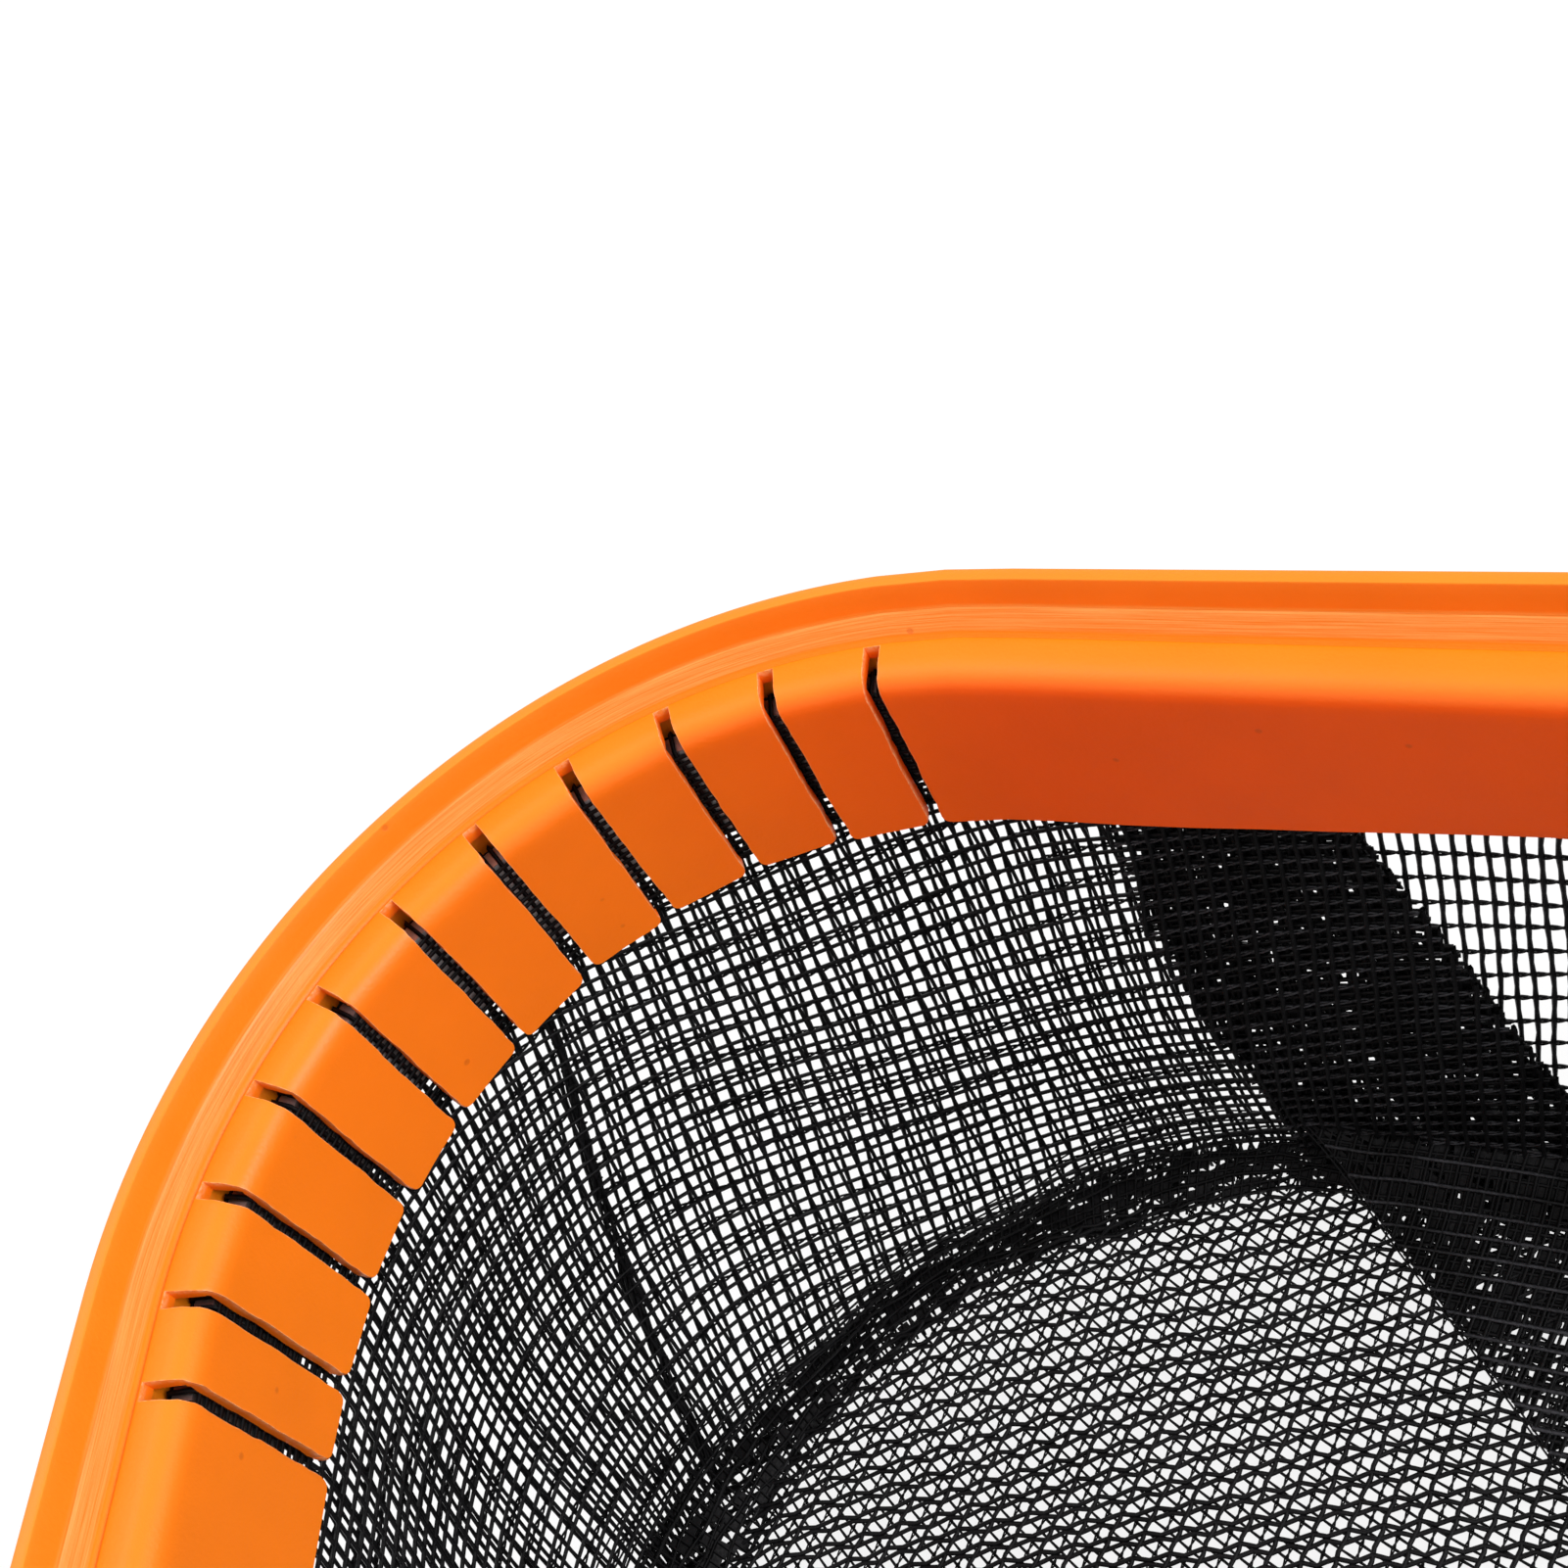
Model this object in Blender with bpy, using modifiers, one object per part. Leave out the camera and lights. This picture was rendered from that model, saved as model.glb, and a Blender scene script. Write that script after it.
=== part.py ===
"""Leaf skimmer net: a shallow double-layer bag hung from a bent aluminium hoop.

The hoop is a flat strip stood on edge and bent into a rounded trapezoid, wide at the front.
A moulded plastic scoop edge clips down over the strip and traps the hem of the bag, with its
inner fin slit into fingers at each corner so that it can follow the bend. A moulded bracket
bolts to the rear of the hoop and carries the handle tube, whose sprung buttons lock a pole.

Frame: +Y points forward, away from the handle, +Z up, and the bag stands on z = 0.
Sections are drawn with "inset" (towards the bag, from the line where the slits start) and
"rise" (above the level of that line).
"""

import math

import bmesh
import bpy
from mathutils import Matrix, Vector

MM = 0.001

# ---- Driving sizes: the frame ---------------------------------------------------------------
OVERALL_WIDTH = 500.0 * MM      # over the lips of the scoop edge
RAIL_LENGTH = 328.0 * MM        # front to rear, between the slit lines
SIDE_TAPER = math.radians(20)   # each side closes in by this angle towards the handle
FRONT_RADIUS = 54.0 * MM        # slit line, front corners
REAR_RADIUS = 60.0 * MM         # slit line, rear corners
RAIL_LEVEL = 82.0 * MM          # height of the slit line above the floor
FRONT_STEPS = 18                # facets in a front corner
REAR_STEPS = 12                 # facets in a rear corner

ROUND_SIDES = 32                # facets of the tube, socket and stop ring
BOLT_SIDES = 12

# ---- Fits -----------------------------------------------------------------------------------
SEAT = 0.3 * MM                 # clearance between seated pieces
CLOTH_SEAT = 0.25 * MM          # clearance on each side of the clamped hem

# ---- Hoop strip and hem ---------------------------------------------------------------------
STRIP_THICKNESS = 2.0 * MM
STRIP_HEIGHT = 12.7 * MM
STRIP_DROP = 3.4 * MM           # top of the strip below the slit line
STRIP_SPLIT = 1.0 * MM          # gap between the two ends of the hoop
HEM_THICKNESS = 0.3 * MM
HEM_TAIL = 1.0 * MM             # how far the hem hangs below the strip

# ---- Scoop edge -----------------------------------------------------------------------------
LIP_RISE = 5.0 * MM
LIP_FLARE = 3.7 * MM            # outer face of the lip beyond the slit line
LIP_WALL = 1.3 * MM
RAMP_RISE = 2.05 * MM           # height at which the lip meets the ramp
RAMP_FLARE = 1.7 * MM
GROOVE_DEPTH = 0.3 * MM
GROOVE_INSET = -0.5 * MM        # deepest line of the groove between the ramp and the crown
GROOVE_FAR_HALF = 0.3 * MM      # from there out to the ramp, and in to the crown
RAMP_FOOT_RISE = 0.2 * MM       # height of the ramp's foot at the groove
LEG_WALL = 1.3 * MM             # outer leg
LEG_LENGTH = 18.5 * MM
BARB_REACH = 0.5 * MM           # hook that keeps the strip in the channel
CROWN_WALL = 1.5 * MM           # top of the channel
FIN_WALL = 1.2 * MM
FIN_LENGTH = 20.6 * MM
FIN_LEAN = 0.4 * MM             # the fin's free edge leans in by this much
SHOULDER = 1.4 * MM             # round between the crown and the fin
SHOULDER_STEPS = 3
FIN_TIP_ROUND = 0.3 * MM
CHANNEL_ROUND = 0.4 * MM        # rounds at the roof of the channel

# ---- Slits ----------------------------------------------------------------------------------
SLIT_WIDTH = 1.7 * MM
SLIT_PITCH = 10.0 * MM
FRONT_SLITS = 11
REAR_SLITS = 7
FRONT_SLIT_LEAD = 6.1 * MM      # the last slit lies this far past a front corner's bend
BLADE_OVERRUN = 3.0 * MM        # how far a slitting blade passes the edge it cuts

# ---- Bag ------------------------------------------------------------------------------------
NET_THICKNESS = 0.5 * MM
LAYER_SPACING = 1.3 * MM        # from one layer's face to the same face of the other
OUTER_TOP_INSET = 1.1 * MM      # outer layer where it leaves the hem
BAG_TOP_GAP = SEAT
BAG_FOOT_INSET = 5.0 * MM       # how far the bottom seam lies inside the rail
BAG_FOOT_FRONT_RADIUS = 68.0 * MM
BAG_FOOT_REAR_RADIUS = 72.0 * MM
BAG_STRAIGHT_TOP = 1.5 * MM     # the wall hangs straight this far past the fin
WALL_CURVE = 1.6                # power by which the wall closes in towards its foot
WALL_WAVE = 2.5 * MM            # slack folds of the wall
NARROW_FOLDS = 11
WIDE_FOLDS = 4
SIDE_PARTS = 6                  # facets along each straight run of the bag
FRONT_PARTS = 10
REAR_PARTS = 4
WALL_RINGS = 5
MESH_PITCH = 46.0 * MM          # the mesh is drawn as a plain grid of openings this far apart
MESH_BAR = 6.0 * MM             # net left between two openings
MESH_FLOOR_EDGE = 12.0 * MM     # the bottom is whole this far inside its foot
WINDOW_LOW = 13.0 * MM          # openings of the wall, above the floor
WINDOW_HIGH = 54.0 * MM
WINDOW_REACH = 9.0 * MM         # how far an opening's cutter passes the wall on each side
WINDOW_TURN_SHARE = 0.68     # width of a window in a turn, to one in a straight run
SEAM_HEIGHT = 7.0 * MM
SEAM_THICKNESS = 1.2 * MM
SEAM_LEAN = 0.05                # the seam's foot leans in by this share of its height

# ---- Edge rivets ----------------------------------------------------------------------------
RIVET_RADIUS = 1.5 * MM
RIVET_HEAD_RADIUS = 3.0 * MM
RIVET_HEAD_HEIGHT = 1.1 * MM
RIVET_FROM_END = 9.0 * MM

# ---- Handle bracket -------------------------------------------------------------------------
FLANGE_HALF_WIDTH = 50.0 * MM
FLANGE_THICKNESS = 5.0 * MM
FLANGE_RISE = 2.0 * MM          # top of the flange above the slit line
FLANGE_HEIGHT = 20.5 * MM
WEB_THICKNESS = 3.2 * MM
RIB_THICKNESS = 3.0 * MM
SOCKET_WALL = 4.2 * MM
SOCKET_LENGTH = 72.0 * MM
SOCKET_FLOOR = 10.0 * MM        # solid part of the socket behind the flange
TUBE_BOLT_BACK = 42.0 * MM      # tube bolt behind the slit line
BOSS_RADIUS = 6.5 * MM
BOSS_RISE = 2.4 * MM
FLANGE_ROUND = 0.8 * MM
WEB_INSET = 0.4 * MM            # webs lie this far inside the flange's top and bottom
WEB_REACH = 57.6 * MM           # the webs run this far back along the socket
WEB_TAIL_HALF_WIDTH = 16.8 * MM
WEB_STEPS = 10
RIB_LENGTH = 10.0 * MM
RIB_INSET = 1.5 * MM            # ribs end inside the webs, this far from the flange's edges
JOIN = 1.0 * MM                 # how far joined pieces of the bracket reach into each other
PLATE_THICKNESS = 2.0 * MM
PLATE_END_INSET = 2.0 * MM      # the plate ends this far inside the flange's ends
PLATE_ROUND = 0.4 * MM

# ---- Bolts ----------------------------------------------------------------------------------
HOLE_REACH = 40.0 * MM          # length of the cutters for bolt and rivet holes
BOLT_RADIUS = 2.0 * MM
BOLT_HEAD_RADIUS = 3.9 * MM
BOLT_HEAD_HEIGHT = 2.4 * MM
NUT_FLATS = 7.0 * MM
NUT_HEIGHT = 3.2 * MM
BOLT_TIP = 1.0 * MM             # thread that shows past a nut
BOLT_OFFSETS = (25.0 * MM, 42.0 * MM)
TUBE_BOLT_RADIUS = 2.5 * MM
TUBE_BOLT_HEAD_RADIUS = 4.7 * MM
TUBE_BOLT_HEAD_HEIGHT = 3.0 * MM
TUBE_NUT_FLATS = 8.0 * MM
TUBE_NUT_HEIGHT = 4.5 * MM

# ---- Handle tube, pole stop and button clip -------------------------------------------------
TUBE_RADIUS = 14.3 * MM
TUBE_WALL = 1.3 * MM
TUBE_LENGTH = 235.0 * MM
POLE_ENTRY = 125.0 * MM         # length of tube that goes into a pole
STOP_LENGTH = 12.0 * MM
STOP_WALL = 3.4 * MM
BUTTON_FROM_END = 25.0 * MM
BUTTON_RADIUS = 3.1 * MM
BUTTON_HOLE_RADIUS = 3.75 * MM
BUTTON_PROUD = 4.5 * MM
CLIP_THICKNESS = 0.9 * MM
CLIP_HEIGHT = 7.0 * MM
CLIP_LEVER = 60.0 * MM
CLIP_TAIL = 6.0 * MM

# ---- Derived places -------------------------------------------------------------------------
# Channel, from the outer leg's inner face to the fin: strip, hem on both sides, and clearances.
CHANNEL_WIDTH = STRIP_THICKNESS + 2 * (HEM_THICKNESS + 2 * CLOTH_SEAT)
LEG_INSET = -0.45 * MM
FIN_INSET = LEG_INSET + CHANNEL_WIDTH
STRIP_INSET = LEG_INSET + HEM_THICKNESS + 2 * CLOTH_SEAT
STRIP_MIDDLE = RAIL_LEVEL - STRIP_DROP - STRIP_HEIGHT / 2
HEM_BOTTOM = STRIP_DROP + STRIP_HEIGHT + HEM_TAIL

# The origin lies under the middle of the whole length, from the lip to the tube's end.
TUBE_FRONT_BACK = FLANGE_THICKNESS + SOCKET_FLOOR
HANDLE_REACH = TUBE_FRONT_BACK + TUBE_LENGTH - STRIP_INSET + SEAT
FRONT_Y = (RAIL_LENGTH + HANDLE_REACH - LIP_FLARE) / 2
REAR_Y = FRONT_Y - RAIL_LENGTH
FRONT_CENTRE_X = OVERALL_WIDTH / 2 - LIP_FLARE - FRONT_RADIUS
TUBE_AXIS = RAIL_LEVEL + FLANGE_RISE - FLANGE_HEIGHT / 2
FLANGE_FRONT = REAR_Y + STRIP_INSET - SEAT
TUBE_FRONT_Y = FLANGE_FRONT - TUBE_FRONT_BACK
TUBE_END_Y = TUBE_FRONT_Y - TUBE_LENGTH
BUTTON_Y = TUBE_END_Y + BUTTON_FROM_END
PIVOT_Y = BUTTON_Y + CLIP_LEVER


def clear_scene():
    """Remove the objects of the start-up scene."""
    for thing in list(bpy.data.objects):
        bpy.data.objects.remove(thing, do_unlink=True)


def collection(name):
    """Make a collection under the scene."""
    made = bpy.data.collections.new(name)
    bpy.context.scene.collection.children.link(made)
    return made


def material(name, colour, roughness, metallic=0.0):
    """A Principled material."""
    made = bpy.data.materials.new(name)
    made.use_nodes = True
    shader = made.node_tree.nodes["Principled BSDF"]
    shader.inputs["Base Color"].default_value = (*colour, 1.0)
    shader.inputs["Roughness"].default_value = roughness
    shader.inputs["Metallic"].default_value = metallic
    return made


def add_object(name, bm, finish, home, smooth_angle=None):
    """Turn a bmesh into a named object in a collection."""
    mesh = bpy.data.meshes.new(name)
    bm.to_mesh(mesh)
    bm.free()
    thing = bpy.data.objects.new(name, mesh)
    home.objects.link(thing)
    if finish:
        mesh.materials.append(finish)
    if smooth_angle:
        mesh.shade_smooth()
        mesh.set_sharp_from_angle(angle=smooth_angle)
    return thing


def as_cutter(thing):
    """Show a guide as a wire that isn't rendered."""
    thing.hide_render = True
    thing.display_type = "WIRE"
    return thing


def boolean(thing, other, operation="DIFFERENCE"):
    """Cut or join another object with a modifier."""
    step = thing.modifiers.new(f"{operation.title()} {other.name}", "BOOLEAN")
    step.operation = operation
    step.object = other


# ---- Rail path ------------------------------------------------------------------------------
def corner_centre(front, radius, inset=0.0):
    """Centre of a right-hand corner of the outline that lies inset from the rail."""
    slope, lean = math.sin(SIDE_TAPER), math.cos(SIDE_TAPER)
    side = lean * FRONT_CENTRE_X - slope * (FRONT_Y - FRONT_RADIUS) + FRONT_RADIUS
    y = FRONT_Y - inset - radius if front else REAR_Y + inset + radius
    return Vector(((side - inset - radius + slope * y) / lean, y, 0))


class RailPath:
    """The slit line, clockwise from a point on the rear run: straight runs and round turns."""

    def __init__(self, start_x):
        front = corner_centre(True, FRONT_RADIUS)
        rear = corner_centre(False, REAR_RADIUS)
        side = math.sqrt((front - rear).length ** 2 - (FRONT_RADIUS - REAR_RADIUS) ** 2)
        front_turn = math.pi / 2 + SIDE_TAPER
        rear_turn = math.pi - front_turn
        self.start = Vector((-start_x, REAR_Y, 0))
        self.moves = [
            ("run", rear.x - start_x),
            ("turn", REAR_RADIUS, rear_turn, REAR_STEPS),
            ("run", side),
            ("turn", FRONT_RADIUS, front_turn, FRONT_STEPS),
            ("run", 2 * front.x),
            ("turn", FRONT_RADIUS, front_turn, FRONT_STEPS),
            ("run", side),
            ("turn", REAR_RADIUS, rear_turn, REAR_STEPS),
            ("run", rear.x - start_x),
        ]

    def lengths(self):
        """Length of each move along the slit line."""
        return [move[1] if move[0] == "run" else move[1] * move[2] for move in self.moves]

    def at(self, distance):
        """Point and heading after a distance along the path."""
        place, heading = self.start.copy(), math.pi
        for move, length in zip(self.moves, self.lengths()):
            part = min(distance, length)
            if move[0] == "run":
                place += part * Vector((math.cos(heading), math.sin(heading), 0))
            else:
                radius, angle = move[1], part / move[1]
                centre = place + radius * inward(heading)
                heading -= angle
                place = centre - radius * inward(heading)
            distance -= part
            if distance <= 0:
                break
        return place, heading


def inward(heading):
    """Direction towards the bag, to the right of the heading."""
    return Vector((math.sin(heading), -math.cos(heading), 0))


def sweep(path, section):
    """Carry a closed section (inset, rise) along the rail by extruding and spinning it."""
    bm = bmesh.new()
    place, heading = path.start.copy(), math.pi
    corners = [place + inset * inward(heading) + Vector((0, 0, RAIL_LEVEL + rise))
               for inset, rise in section]
    face = bm.faces.new([bm.verts.new(corner) for corner in corners])
    tip = [face, *face.edges, *face.verts]
    for move in path.moves:
        if move[0] == "run":
            made = bmesh.ops.extrude_face_region(bm, geom=tip)["geom"]
            step = move[1] * Vector((math.cos(heading), math.sin(heading), 0))
            moved = [item for item in made if isinstance(item, bmesh.types.BMVert)]
            bmesh.ops.translate(bm, verts=moved, vec=step)
            place += step
            tip = made
        else:
            radius, angle, steps = move[1:]
            centre = place + radius * inward(heading)
            tip = bmesh.ops.spin(bm, geom=tip, cent=centre, axis=(0, 0, 1), dvec=(0, 0, 0),
                                 angle=-angle, steps=steps, use_duplicate=False)["geom_last"]
            heading -= angle
            place = centre - radius * inward(heading)
    bmesh.ops.recalc_face_normals(bm, faces=bm.faces)
    return bm


def ring(inset, front_radius, rear_radius, level, wave=0.0):
    """Closed outline parallel to the rail, with corner radii of its own and slack folds."""
    front = corner_centre(True, front_radius, inset)
    rear = corner_centre(False, rear_radius, inset)
    corners = (
        (rear.x, rear.y, -math.pi / 2, -SIDE_TAPER, rear_radius, REAR_STEPS // 2, SIDE_PARTS),
        (front.x, front.y, -SIDE_TAPER, math.pi / 2, front_radius, FRONT_STEPS // 2, FRONT_PARTS),
        (-front.x, front.y, math.pi / 2, math.pi + SIDE_TAPER, front_radius, FRONT_STEPS // 2,
         SIDE_PARTS),
        (-rear.x, rear.y, math.pi + SIDE_TAPER, 1.5 * math.pi, rear_radius, REAR_STEPS // 2,
         REAR_PARTS),
    )
    arcs = []
    for x, y, begin, end, radius, steps, parts in corners:
        outs = [Vector((math.cos(angle), math.sin(angle), 0))
                for angle in (begin + (end - begin) * step / steps for step in range(steps + 1))]
        arcs.append(([Vector((x, y, 0)) + radius * out for out in outs], outs, parts))
    points, outs = [], []
    for index, (arc, normals, parts) in enumerate(arcs):
        after = arcs[(index + 1) % len(arcs)][0][0]
        points += arc + [arc[-1].lerp(after, part / parts) for part in range(1, parts)]
        outs += normals + [normals[-1]] * (parts - 1)
    travel = [0.0]
    for point, after in zip(points, points[1:] + points[:1]):
        travel.append(travel[-1] + (after - point).length)
    shaped = []
    for point, out, length in zip(points, outs, travel):
        turn = 2 * math.pi * length / travel[-1]
        fold = math.sin(NARROW_FOLDS * turn) + 0.6 * math.sin(WIDE_FOLDS * turn + 1.0)
        shaped.append(point - wave * fold * out + Vector((0, 0, level)))
    return shaped


def skin(rings, close_section=False, close_bottom=False):
    """Surface through rings with equal numbers of points."""
    bm = bmesh.new()
    rows = [[bm.verts.new(point) for point in points] for points in rings]
    pairs = list(zip(rows, rows[1:]))
    if close_section:
        pairs.append((rows[-1], rows[0]))
    for upper, lower in pairs:
        for index in range(len(upper)):
            after = (index + 1) % len(upper)
            bm.faces.new((upper[index], lower[index], lower[after], upper[after]))
    if close_bottom:
        bm.faces.new(rows[-1])
    bmesh.ops.recalc_face_normals(bm, faces=bm.faces)
    return bm


# ---- Frame pieces ---------------------------------------------------------------------------
def arc_points(centre, radius, begin, end, steps):
    """Points of a round stretch of a section."""
    return [(centre[0] + radius * math.cos(math.radians(begin + (end - begin) * step / steps)),
             centre[1] + radius * math.sin(math.radians(begin + (end - begin) * step / steps)))
            for step in range(steps + 1)]


def edge_section():
    """Section of the scoop edge: lip, ramp, groove, crown, slit fin and barbed outer leg."""
    fin_face = FIN_INSET + FIN_WALL
    outside = LEG_INSET - LEG_WALL
    crown_end = fin_face - SHOULDER
    return [
        (-LIP_FLARE, LIP_RISE),
        (-LIP_FLARE + LIP_WALL, LIP_RISE),
        (-RAMP_FLARE, RAMP_RISE),
        (GROOVE_INSET - GROOVE_FAR_HALF, RAMP_FOOT_RISE),
        (GROOVE_INSET, -GROOVE_DEPTH),
        (GROOVE_INSET + GROOVE_FAR_HALF, 0.0),
        *arc_points((crown_end, -SHOULDER), SHOULDER, 90, 0, SHOULDER_STEPS),
        (fin_face + FIN_LEAN, -FIN_LENGTH + FIN_TIP_ROUND),
        (fin_face + FIN_LEAN - FIN_TIP_ROUND, -FIN_LENGTH),
        (FIN_INSET + FIN_LEAN + FIN_TIP_ROUND, -FIN_LENGTH),
        (FIN_INSET + FIN_LEAN, -FIN_LENGTH + FIN_TIP_ROUND),
        (FIN_INSET, -CROWN_WALL - CHANNEL_ROUND),
        (FIN_INSET - CHANNEL_ROUND, -CROWN_WALL),
        (LEG_INSET + CHANNEL_ROUND, -CROWN_WALL),
        (LEG_INSET, -CROWN_WALL - CHANNEL_ROUND),
        (LEG_INSET, -HEM_BOTTOM - SEAT),
        (LEG_INSET + BARB_REACH, -HEM_BOTTOM - 2 * SEAT),
        (LEG_INSET, -LEG_LENGTH),
        (outside, -LEG_LENGTH),
        (outside, -RAMP_RISE),
    ]


def slit_blades(cutters):
    """Thin blades, square to the rail, that slit the crown and fin at each corner."""
    start = FLANGE_HALF_WIDTH + SEAT
    path = RailPath(start)
    lengths = path.lengths()
    blades = bmesh.new()
    depth = FIN_INSET + FIN_WALL + FIN_LEAN + BLADE_OVERRUN
    height = FIN_LENGTH + 2 * BLADE_OVERRUN
    rear_lead = (REAR_RADIUS * path.moves[1][2] - (REAR_SLITS - 1) * SLIT_PITCH) / 2
    front_first = lengths[3] + FRONT_SLIT_LEAD - (FRONT_SLITS - 1) * SLIT_PITCH
    corners = ((1, rear_lead, REAR_SLITS), (3, -FRONT_SLIT_LEAD, FRONT_SLITS),
               (5, front_first, FRONT_SLITS), (7, rear_lead, REAR_SLITS))
    for move, lead, count in corners:
        for slit in range(count):
            place, heading = path.at(sum(lengths[:move]) + lead + slit * SLIT_PITCH)
            centre = place + inward(heading) * depth / 2
            centre.z = RAIL_LEVEL - FIN_LENGTH / 2
            turn = Matrix.Translation(centre) @ Matrix.Rotation(heading, 4, "Z")
            size = Matrix.Diagonal((SLIT_WIDTH, depth, height, 1.0))
            bmesh.ops.create_cube(blades, size=1.0, matrix=turn @ size)
    return as_cutter(add_object("slit_blades", blades, None, cutters))


def cylinder(name, radius, length, centre, axis, finish, home, sides=24):
    """A cylinder about a centre, along X, Y or Z."""
    turn = {"X": Matrix.Rotation(math.pi / 2, 4, "Y"), "Y": Matrix.Rotation(math.pi / 2, 4, "X"),
            "Z": Matrix.Identity(4)}[axis]
    bm = bmesh.new()
    bmesh.ops.create_cone(bm, cap_ends=True, segments=sides, radius1=radius, radius2=radius,
                          depth=length, matrix=Matrix.Translation(centre) @ turn)
    return add_object(name, bm, finish, home, smooth_angle=math.radians(40))


def rivet_place(side):
    """Centre of an edge rivet on the slit line, behind the hoop."""
    x = side * (FLANGE_HALF_WIDTH + SEAT + RIVET_FROM_END)
    return Vector((x, REAR_Y, STRIP_MIDDLE))


def build_frame(parts, cutters, finishes):
    """Hoop, hem, scoop edge and the rivets at the edge's two ends."""
    hoop = sweep(RailPath(STRIP_SPLIT / 2), [
        (STRIP_INSET, -STRIP_DROP),
        (STRIP_INSET + STRIP_THICKNESS, -STRIP_DROP),
        (STRIP_INSET + STRIP_THICKNESS, -STRIP_DROP - STRIP_HEIGHT),
        (STRIP_INSET, -STRIP_DROP - STRIP_HEIGHT),
    ])
    hoop = add_object("frame_hoop", hoop, finishes["aluminium"], parts)

    near, far = STRIP_INSET - CLOTH_SEAT, STRIP_INSET + STRIP_THICKNESS + CLOTH_SEAT
    top = -STRIP_DROP + CLOTH_SEAT
    hem = sweep(RailPath(FLANGE_HALF_WIDTH + SEAT), [
        (near - HEM_THICKNESS, top + HEM_THICKNESS),
        (far + HEM_THICKNESS, top + HEM_THICKNESS),
        (far + HEM_THICKNESS, -HEM_BOTTOM),
        (far, -HEM_BOTTOM),
        (far, top),
        (near, top),
        (near, -HEM_BOTTOM),
        (near - HEM_THICKNESS, -HEM_BOTTOM),
    ])
    hem = add_object("net_hem", hem, finishes["net"], parts)

    edge = sweep(RailPath(FLANGE_HALF_WIDTH + SEAT), edge_section())
    edge = add_object("scoop_edge", edge, finishes["edge"], parts)
    boolean(edge, slit_blades(cutters))

    grip_near = LEG_INSET - LEG_WALL
    grip_far = FIN_INSET + FIN_WALL + FIN_LEAN
    for side, word in ((-1, "left"), (1, "right")):
        place = rivet_place(side)
        hole = cylinder(f"rivet_hole_{word}", RIVET_RADIUS + SEAT, HOLE_REACH,
                        place, "Y", None, cutters, BOLT_SIDES)
        as_cutter(hole)
        for piece in (hoop, hem, edge):
            boolean(piece, hole)
        build_rivet(f"edge_rivet_{word}", place, grip_near, grip_far, parts, finishes)


def build_rivet(name, place, near, far, parts, finishes):
    """A rivet along Y with a domed head at each end, turned in one piece."""
    near, far = near - SEAT, far + SEAT
    shoulder = math.radians(45)
    dome = (RIVET_HEAD_RADIUS * math.cos(shoulder), RIVET_HEAD_HEIGHT * math.sin(shoulder))
    turned_piece(name, [
        (0, near - RIVET_HEAD_HEIGHT),
        (dome[0], near - dome[1]),
        (RIVET_HEAD_RADIUS, near),
        (RIVET_RADIUS, near),
        (RIVET_RADIUS, far),
        (RIVET_HEAD_RADIUS, far),
        (dome[0], far + dome[1]),
        (0, far + RIVET_HEAD_HEIGHT),
    ], place, "Y", finishes["aluminium"], parts, BOLT_SIDES)


def turned_piece(name, profile, place, axis, finish, home, sides=24):
    """Revolve a profile of (radius, distance along the axis) about an axis through a place."""
    bm = bmesh.new()
    turn = {"X": Matrix.Rotation(math.pi / 2, 4, "Y"), "Y": Matrix.Rotation(-math.pi / 2, 4, "X"),
            "Z": Matrix.Identity(4)}[axis]
    verts = [bm.verts.new((radius, 0, along)) for radius, along in profile]
    edges = [bm.edges.new(pair) for pair in zip(verts, verts[1:])]
    if profile[0][0] > 0:
        edges.append(bm.edges.new((verts[-1], verts[0])))
    bmesh.ops.spin(bm, geom=verts + edges, cent=(0, 0, 0), axis=(0, 0, 1), dvec=(0, 0, 0),
                   angle=2 * math.pi, steps=sides, use_merge=True, use_duplicate=False)
    bmesh.ops.remove_doubles(bm, verts=bm.verts, dist=1e-7)
    bmesh.ops.transform(bm, matrix=Matrix.Translation(place) @ turn, verts=bm.verts)
    bmesh.ops.recalc_face_normals(bm, faces=bm.faces)
    return add_object(name, bm, finish, home, smooth_angle=math.radians(35))


# ---- Bag ------------------------------------------------------------------------------------
def within_foot(x, y, margin):
    """Whether a place on the floor lies inside the bag's foot by a margin."""
    inset = BAG_FOOT_INSET + margin
    front = corner_centre(True, BAG_FOOT_FRONT_RADIUS - inset, inset)
    rear = corner_centre(False, BAG_FOOT_REAR_RADIUS - inset, inset)
    side = math.cos(SIDE_TAPER) * front.x - math.sin(SIDE_TAPER) * front.y
    side += BAG_FOOT_FRONT_RADIUS - inset
    if not REAR_Y + inset < y < FRONT_Y - inset:
        return False
    if math.cos(SIDE_TAPER) * abs(x) - math.sin(SIDE_TAPER) * y > side:
        return False
    for centre, radius, ahead in ((front, BAG_FOOT_FRONT_RADIUS, 1), (rear, BAG_FOOT_REAR_RADIUS, -1)):
        past = Vector((abs(x) - centre.x, y - centre.y, 0))
        if past.x > 0 and past.y * ahead > 0 and past.length > radius - inset:
            return False
    return True


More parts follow.
